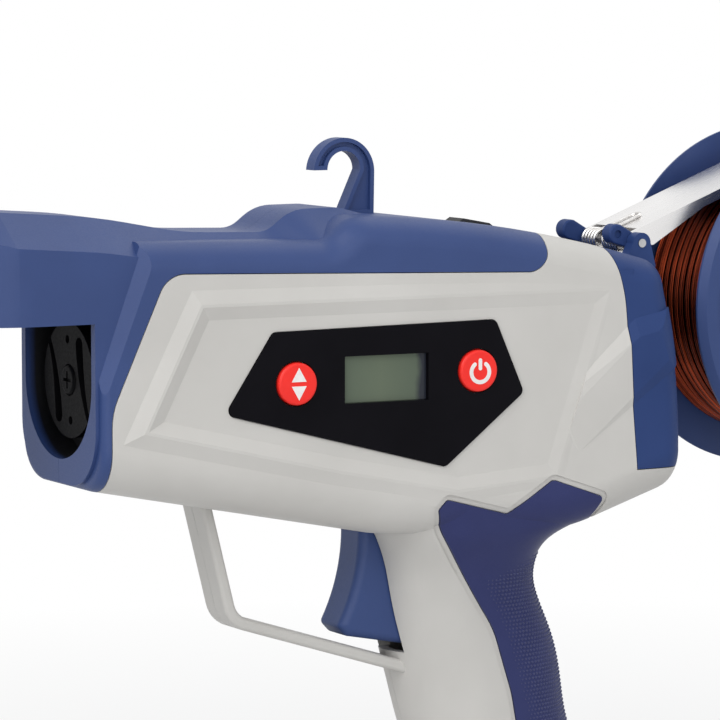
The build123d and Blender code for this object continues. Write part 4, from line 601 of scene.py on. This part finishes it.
def raised(outlines, where):
    """Flat outlines in millimetres, raised a little from the plane of the matrix."""
    shape = bmesh.new()
    for outline in outlines:
        low = [shape.verts.new(where @ (Vector((x, y, -SIGN_ROOT)) * MM)) for x, y in outline]
        high = [shape.verts.new(where @ (Vector((x, y, SIGN_RISE)) * MM)) for x, y in outline]
        shape.faces.new(high)
        shape.faces.new(low[::-1])
        band(shape, low, high)
    bmesh.ops.recalc_face_normals(shape, faces=shape.faces)
    mesh = to_mesh(shape, "raised")
    mesh.set_sharp_from_angle(angle=math.radians(SIGN_SHARP_ANGLE))
    return mesh


def arrow_outlines():
    """An arrow up and an arrow down."""
    up = [(-ARROW_HALF, ARROW_FOOT), (ARROW_HALF, ARROW_FOOT), (0.0, ARROW_TIP)]
    return [up, [(x, -y) for x, y in reversed(up)]]


def arc(radius, start, end, steps, centre=(0.0, 0.0)):
    """Points of an arc from one angle to another."""
    turns = [math.radians(start + (end - start) * i / steps) for i in range(steps + 1)]
    return [(centre[0] + radius * math.cos(t), centre[1] + radius * math.sin(t)) for t in turns]


def round_end(radius, start, centre):
    """Points of a half circle."""
    return arc(radius, start, start + 180, ROUND_END_STEPS, centre)


def power_outlines():
    """Open ring with round ends and an upright bar."""
    half = (RING_OUTER - RING_INNER) / 2
    mean = (RING_OUTER + RING_INNER) / 2
    start, end = 90 + RING_OPENING, 450 - RING_OPENING
    first, last = arc(mean, start, end, 1)
    open_ring = arc(RING_OUTER, start, end, RING_STEPS)
    open_ring += round_end(half, end, last)[1:-1]
    open_ring += arc(RING_INNER, end, start, RING_STEPS)
    open_ring += round_end(half, start + 180, first)[1:-1]
    bar = round_end(BAR_HALF, 0, (0.0, BAR_HIGH - BAR_HALF))
    bar += round_end(BAR_HALF, 180, (0.0, BAR_LOW + BAR_HALF))
    return [[(x, y - POWER_SIGN_DROP) for x, y in outline] for outline in (open_ring, bar)]


def key_signs():
    piece("adjust_sign", raised(arrow_outlines(), on_key("adjust_button")), SIGN, "adjust_key")
    piece("power_sign", raised(power_outlines(), on_key("power_button")), SIGN, "power_key")


# Wire winding

def close_rows():
    """Place along the spool's axis and radius of each turn of the layer below."""
    count = int(2 * WINDING_HALF / WIRE_PITCH)
    return [(-WINDING_HALF + i * WIRE_PITCH, UNDER_RADIUS) for i in range(count + 1)]


def grouped_rows(chance):
    """The same for the layer over it: small groups of turns, some deeper than others, with gaps between."""
    rows = []
    y = -WINDING_HALF
    while y <= WINDING_HALF:
        reach = OVER_RADIUS - chance.uniform(0.0, GROUP_SINK)
        for _ in range(chance.choice(GROUP_TURNS)):
            rows.append((min(y, WINDING_HALF), reach))
            y += WIRE_PITCH
        y += chance.uniform(*GROUP_GAP)
    return rows


def eased(share):
    """A share between 0 and 1 with a soft start and end."""
    return share * share * (3 - 2 * share)


def winding_path(rows, chance):
    """One wire through all turns: each runs straight round and crosses to the next behind the tool."""
    spool = middle("spool_left_flange")
    spool.y = 0.0
    points = []
    for (y, reach), (next_y, next_reach) in zip(rows, rows[1:] + rows[-1:]):
        lean = chance.uniform(-TURN_WANDER, TURN_WANDER)
        for i in range(WINDING_STEPS):
            turn = i / WINDING_STEPS
            share = eased(min(1.0, turn / CROSSING_SHARE))
            angle = math.radians(CROSSING_START) + 2 * math.pi * turn
            here = reach + (next_reach - reach) * share
            along = y + (next_y - y) * share + lean * math.sin(2 * math.pi * turn)
            points.append(spool + Vector((here * math.cos(angle), along, here * math.sin(angle))) * MM)
    return points


def wire_winding():
    """Two layers of tying wire: a close one below and a looser one over it."""
    chance = random.Random(WINDING_SEED)
    under = tube(winding_path(close_rows(), chance), WIRE_RADIUS * MM, UNDER_SIDES)
    over = tube(winding_path(grouped_rows(chance), chance), WIRE_RADIUS * MM, OVER_SIDES)
    below = piece("winding_under", under, SHADED_WIRE, "spool")
    above = piece("winding_over", over, FINISHES["wire"], "spool")
    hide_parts("wire_core")
    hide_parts("wire_outer_layer")


# Spring of the press arm

def spring_side(side):
    """Points of one half of the spring, from its loop to the end of its leg, in the arm's frame."""
    coil = []
    for i in range(round(SPRING_TURNS * SPRING_TURN_STEPS) + 1):
        turn = i / SPRING_TURN_STEPS
        angle = math.radians(90 + 360 * turn)
        y = side * (SPRING_START + SPRING_PITCH * turn)
        coil.append(Vector((SPRING_RADIUS * math.cos(angle), y, SPRING_RADIUS * math.sin(angle))))
    shares = [1 - i / SPRING_RUN_STEPS for i in range(SPRING_RUN_STEPS)]
    run = [Vector((SPRING_LOOP * share, side * SPRING_START, SPRING_RADIUS)) for share in shares]
    drops = [SPRING_LEG * i / SPRING_LEG_STEPS for i in range(1, SPRING_LEG_STEPS + 1)]
    leg = [coil[-1] - Vector((0, 0, drop)) for drop in drops]
    return run + coil + leg


def spring_loop():
    """Points of the half circle that joins the two halves of the spring."""
    bow = arc(SPRING_START, -90, 90, SPRING_LOOP_STEPS, (SPRING_LOOP, 0.0))[1:-1]
    return [Vector((x, y, SPRING_RADIUS)) for x, y in bow]


def brake_spring():
    """Torsion spring round the hinge pin, with its loop on the arm."""
    path = list(reversed(spring_side(-1))) + spring_loop() + spring_side(1)
    hinge = middle("hinge_pin")
    lean = Matrix.Rotation(math.radians(-BRAKE_TILT), 3, "Y")
    mesh = tube([hinge + (lean @ point) * MM for point in path], SPRING_WIRE * MM, SPRING_SIDES)
    made = piece("torsion_spring", mesh, SPRING, "brake")
    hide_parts("brake_spring")


# Knurl of the rubber skin

def knurl_front(z):
    """X of the knurl's front border at a height; above its first point the border follows the slope."""
    for (x0, z0), (x1, z1) in zip(KNURL_FRONT, KNURL_FRONT[1:]):
        if z1 <= z <= z0:
            return x0 + (x1 - x0) * (z - z0) / (z1 - z0)
    return KNURL_FRONT[0][0] + (z - KNURL_FRONT[0][1]) / KNURL_SLOPE


def skin_row(tree, z):
    """Points and directions out of the skin at one height, from the left round the back to the right."""
    (x0, z0), (x1, z1) = GRIP_AXIS_TOP, GRIP_AXIS_LOW
    axis = x0 + (x1 - x0) * (z - z0) / (z1 - z0)
    hits = []
    for degrees in range(-GRIP_SWEEP, GRIP_SWEEP + 1):
        turn = math.radians(degrees)
        out = Vector((math.cos(turn), math.sin(turn), 0))
        start = to_row(Vector((axis, 0, z)) + out * GRIP_REACH)
        spot, normal, _, _ = tree.ray_cast(start, -out, GRIP_REACH * MM)
        if spot is not None and normal.dot(out) > GRIP_FACING:
            hits.append((spot, normal))
    return hits


def evenly(hits, start, pitch):
    """Points and directions at equal distances along a row; a wide jump in the row is passed over."""
    travelled, wanted = 0.0, start
    for (first, first_normal), (second, second_normal) in zip(hits, hits[1:]):
        step = (second - first).length
        if step > KNURL_JUMP * pitch:
            continue
        while travelled + step >= wanted:
            share = (wanted - travelled) / step if step else 0.0
            yield first.lerp(second, share), first_normal.lerp(second_normal, share).normalized()
            wanted += pitch
        travelled += step


def knurl_spots(tree):
    """Places of the domes as (spot, normal, size); every other row starts half a pitch later."""
    found = []
    rows = int((KNURL_TOP_Z - KNURL_LOW_Z) / KNURL_ROW)
    for row in range(rows + 1):
        z = KNURL_TOP_Z - row * KNURL_ROW
        border = to_row((knurl_front(z), 0, z)).x
        start = (row % 2) * KNURL_PITCH / 2
        for spot, normal in evenly(skin_row(tree, z), start * MM, KNURL_PITCH * MM):
            share = min(1.0, (spot.x - border) / (KNURL_FADE * MM))
            if share > 0.0:
                found.append((spot, normal, KNURL_SMALLEST + (1 - KNURL_SMALLEST) * share))
    return found


def dome(shape, spot, normal, size):
    """One small closed dome on a surface."""
    side = normal.orthogonal().normalized()
    other = normal.cross(side)
    rings = []
    for share, height in KNURL_RINGS:
        foot = spot + normal * (KNURL_RISE * height * size * MM)
        rings.append(ring(shape, foot, side, other, KNURL_RADIUS * share * size * MM, KNURL_SIDES))
    low, high = rings
    top = shape.verts.new(spot + normal * (KNURL_RISE * size * MM))
    shape.faces.new(low[::-1])
    band(shape, low, high)
    for k in range(KNURL_SIDES):
        shape.faces.new((high[k], high[(k + 1) % KNURL_SIDES], top))


def grip_knurl():
    """Small domes on the rubber skin."""
    shape = bmesh.new()
    for spot, normal, size in knurl_spots(surface_tree("grip_overmould")):
        dome(shape, spot, normal, size)
    mesh = to_mesh(shape, "knurl")
    mesh.set_sharp_from_angle(angle=math.radians(KNURL_SHARP_ANGLE))
    piece("grip_knurl", mesh, KNURL, "housing")


# Stage

def seen_directly(tree):
    """1 for what the camera, metal and glass see, 0 for what lights the object."""
    path = add(tree, "ShaderNodeLightPath").outputs
    seen = combine(tree, "MAXIMUM", path["Is Camera Ray"], path["Is Glossy Ray"])
    return combine(tree, "MAXIMUM", seen, path["Is Transmission Ray"])


def floor_white():
    """Pale matt floor that goes over to white away from the object."""
    made = bpy.data.materials.new("floor_white")
    tree = node_tree(made)
    matt = add(tree, "ShaderNodeBsdfDiffuse", Color=FLOOR_COLOUR)
    bright = add(tree, "ShaderNodeEmission", Color=WHITE, Strength=1.0)
    away = add(tree, "ShaderNodeVectorMath", Vector=place(tree))
    away.operation = "LENGTH"
    white = remap(tree, away.outputs["Value"], FLOOR_WHITE, 1.0, span=FLOOR_FADE)
    factor = combine(tree, "MULTIPLY", seen_directly(tree), white)
    mix_shaders(tree, "ShaderNodeOutputMaterial", factor, matt.outputs["BSDF"], bright.outputs["Emission"])
    return made


def floor():
    far, z = FLOOR_REACH, FLOOR_Z
    corners = [(-far, -far, z), (far, -far, z), (far, far, z), (-far, far, z)]
    mesh = bpy.data.meshes.new("floor")
    mesh.from_pydata(corners, [], [(0, 1, 2, 3)])
    mesh.materials.append(floor_white())
    made = bpy.data.objects.new("floor", mesh)
    bpy.context.scene.collection.objects.link(made)


def surroundings():
    """Soft light from all sides, seen as white."""
    world = bpy.data.worlds.new("studio")
    bpy.context.scene.world = world
    tree = node_tree(world)
    soft = add(tree, "ShaderNodeBackground", Color=AMBIENT_COLOUR, Strength=AMBIENT).outputs["Background"]
    white = add(tree, "ShaderNodeBackground", Color=WHITE, Strength=1.0).outputs["Background"]
    mix_shaders(tree, "ShaderNodeOutputWorld", seen_directly(tree), soft, white)


def towards(azimuth, elevation):
    """Direction from the object; azimuth 0 is its left side."""
    turn = math.radians(azimuth)
    rise = math.radians(elevation)
    return Vector((math.sin(turn) * math.cos(rise), -math.cos(turn) * math.cos(rise), math.sin(rise)))


def aim(name, data, azimuth, elevation, distance):
    """A lamp or camera that looks at the target from a distance in metres."""
    made = bpy.data.objects.new(name, data)
    made.location = CAMERA_TARGET + towards(azimuth, elevation) * distance
    made.rotation_euler = (CAMERA_TARGET - made.location).to_track_quat("-Z", "Y").to_euler()
    bpy.context.scene.collection.objects.link(made)
    return made


def lamps():
    for name, azimuth, elevation, distance, size, power in LAMPS:
        lamp = bpy.data.lights.new(name, "AREA")
        lamp.shape = "DISK"
        lamp.size = size
        lamp.energy = power
        aim(name, lamp, azimuth, elevation, distance)


def camera():
    lens = bpy.data.cameras.new("camera")
    lens.lens = CAMERA_LENS
    lens.sensor_width = CAMERA_SENSOR
    lens.clip_start, lens.clip_end = CAMERA_CLIP
    made = aim("camera", lens, CAMERA_AZIMUTH, CAMERA_ELEVATION, CAMERA_DISTANCE * MM)
    bpy.context.scene.camera = made


camera()
dress_nodes()
key_signs()
wire_winding()
brake_spring()
grip_knurl()
floor()
surroundings()
lamps()
bpy.context.scene.view_settings.view_transform = "Standard"
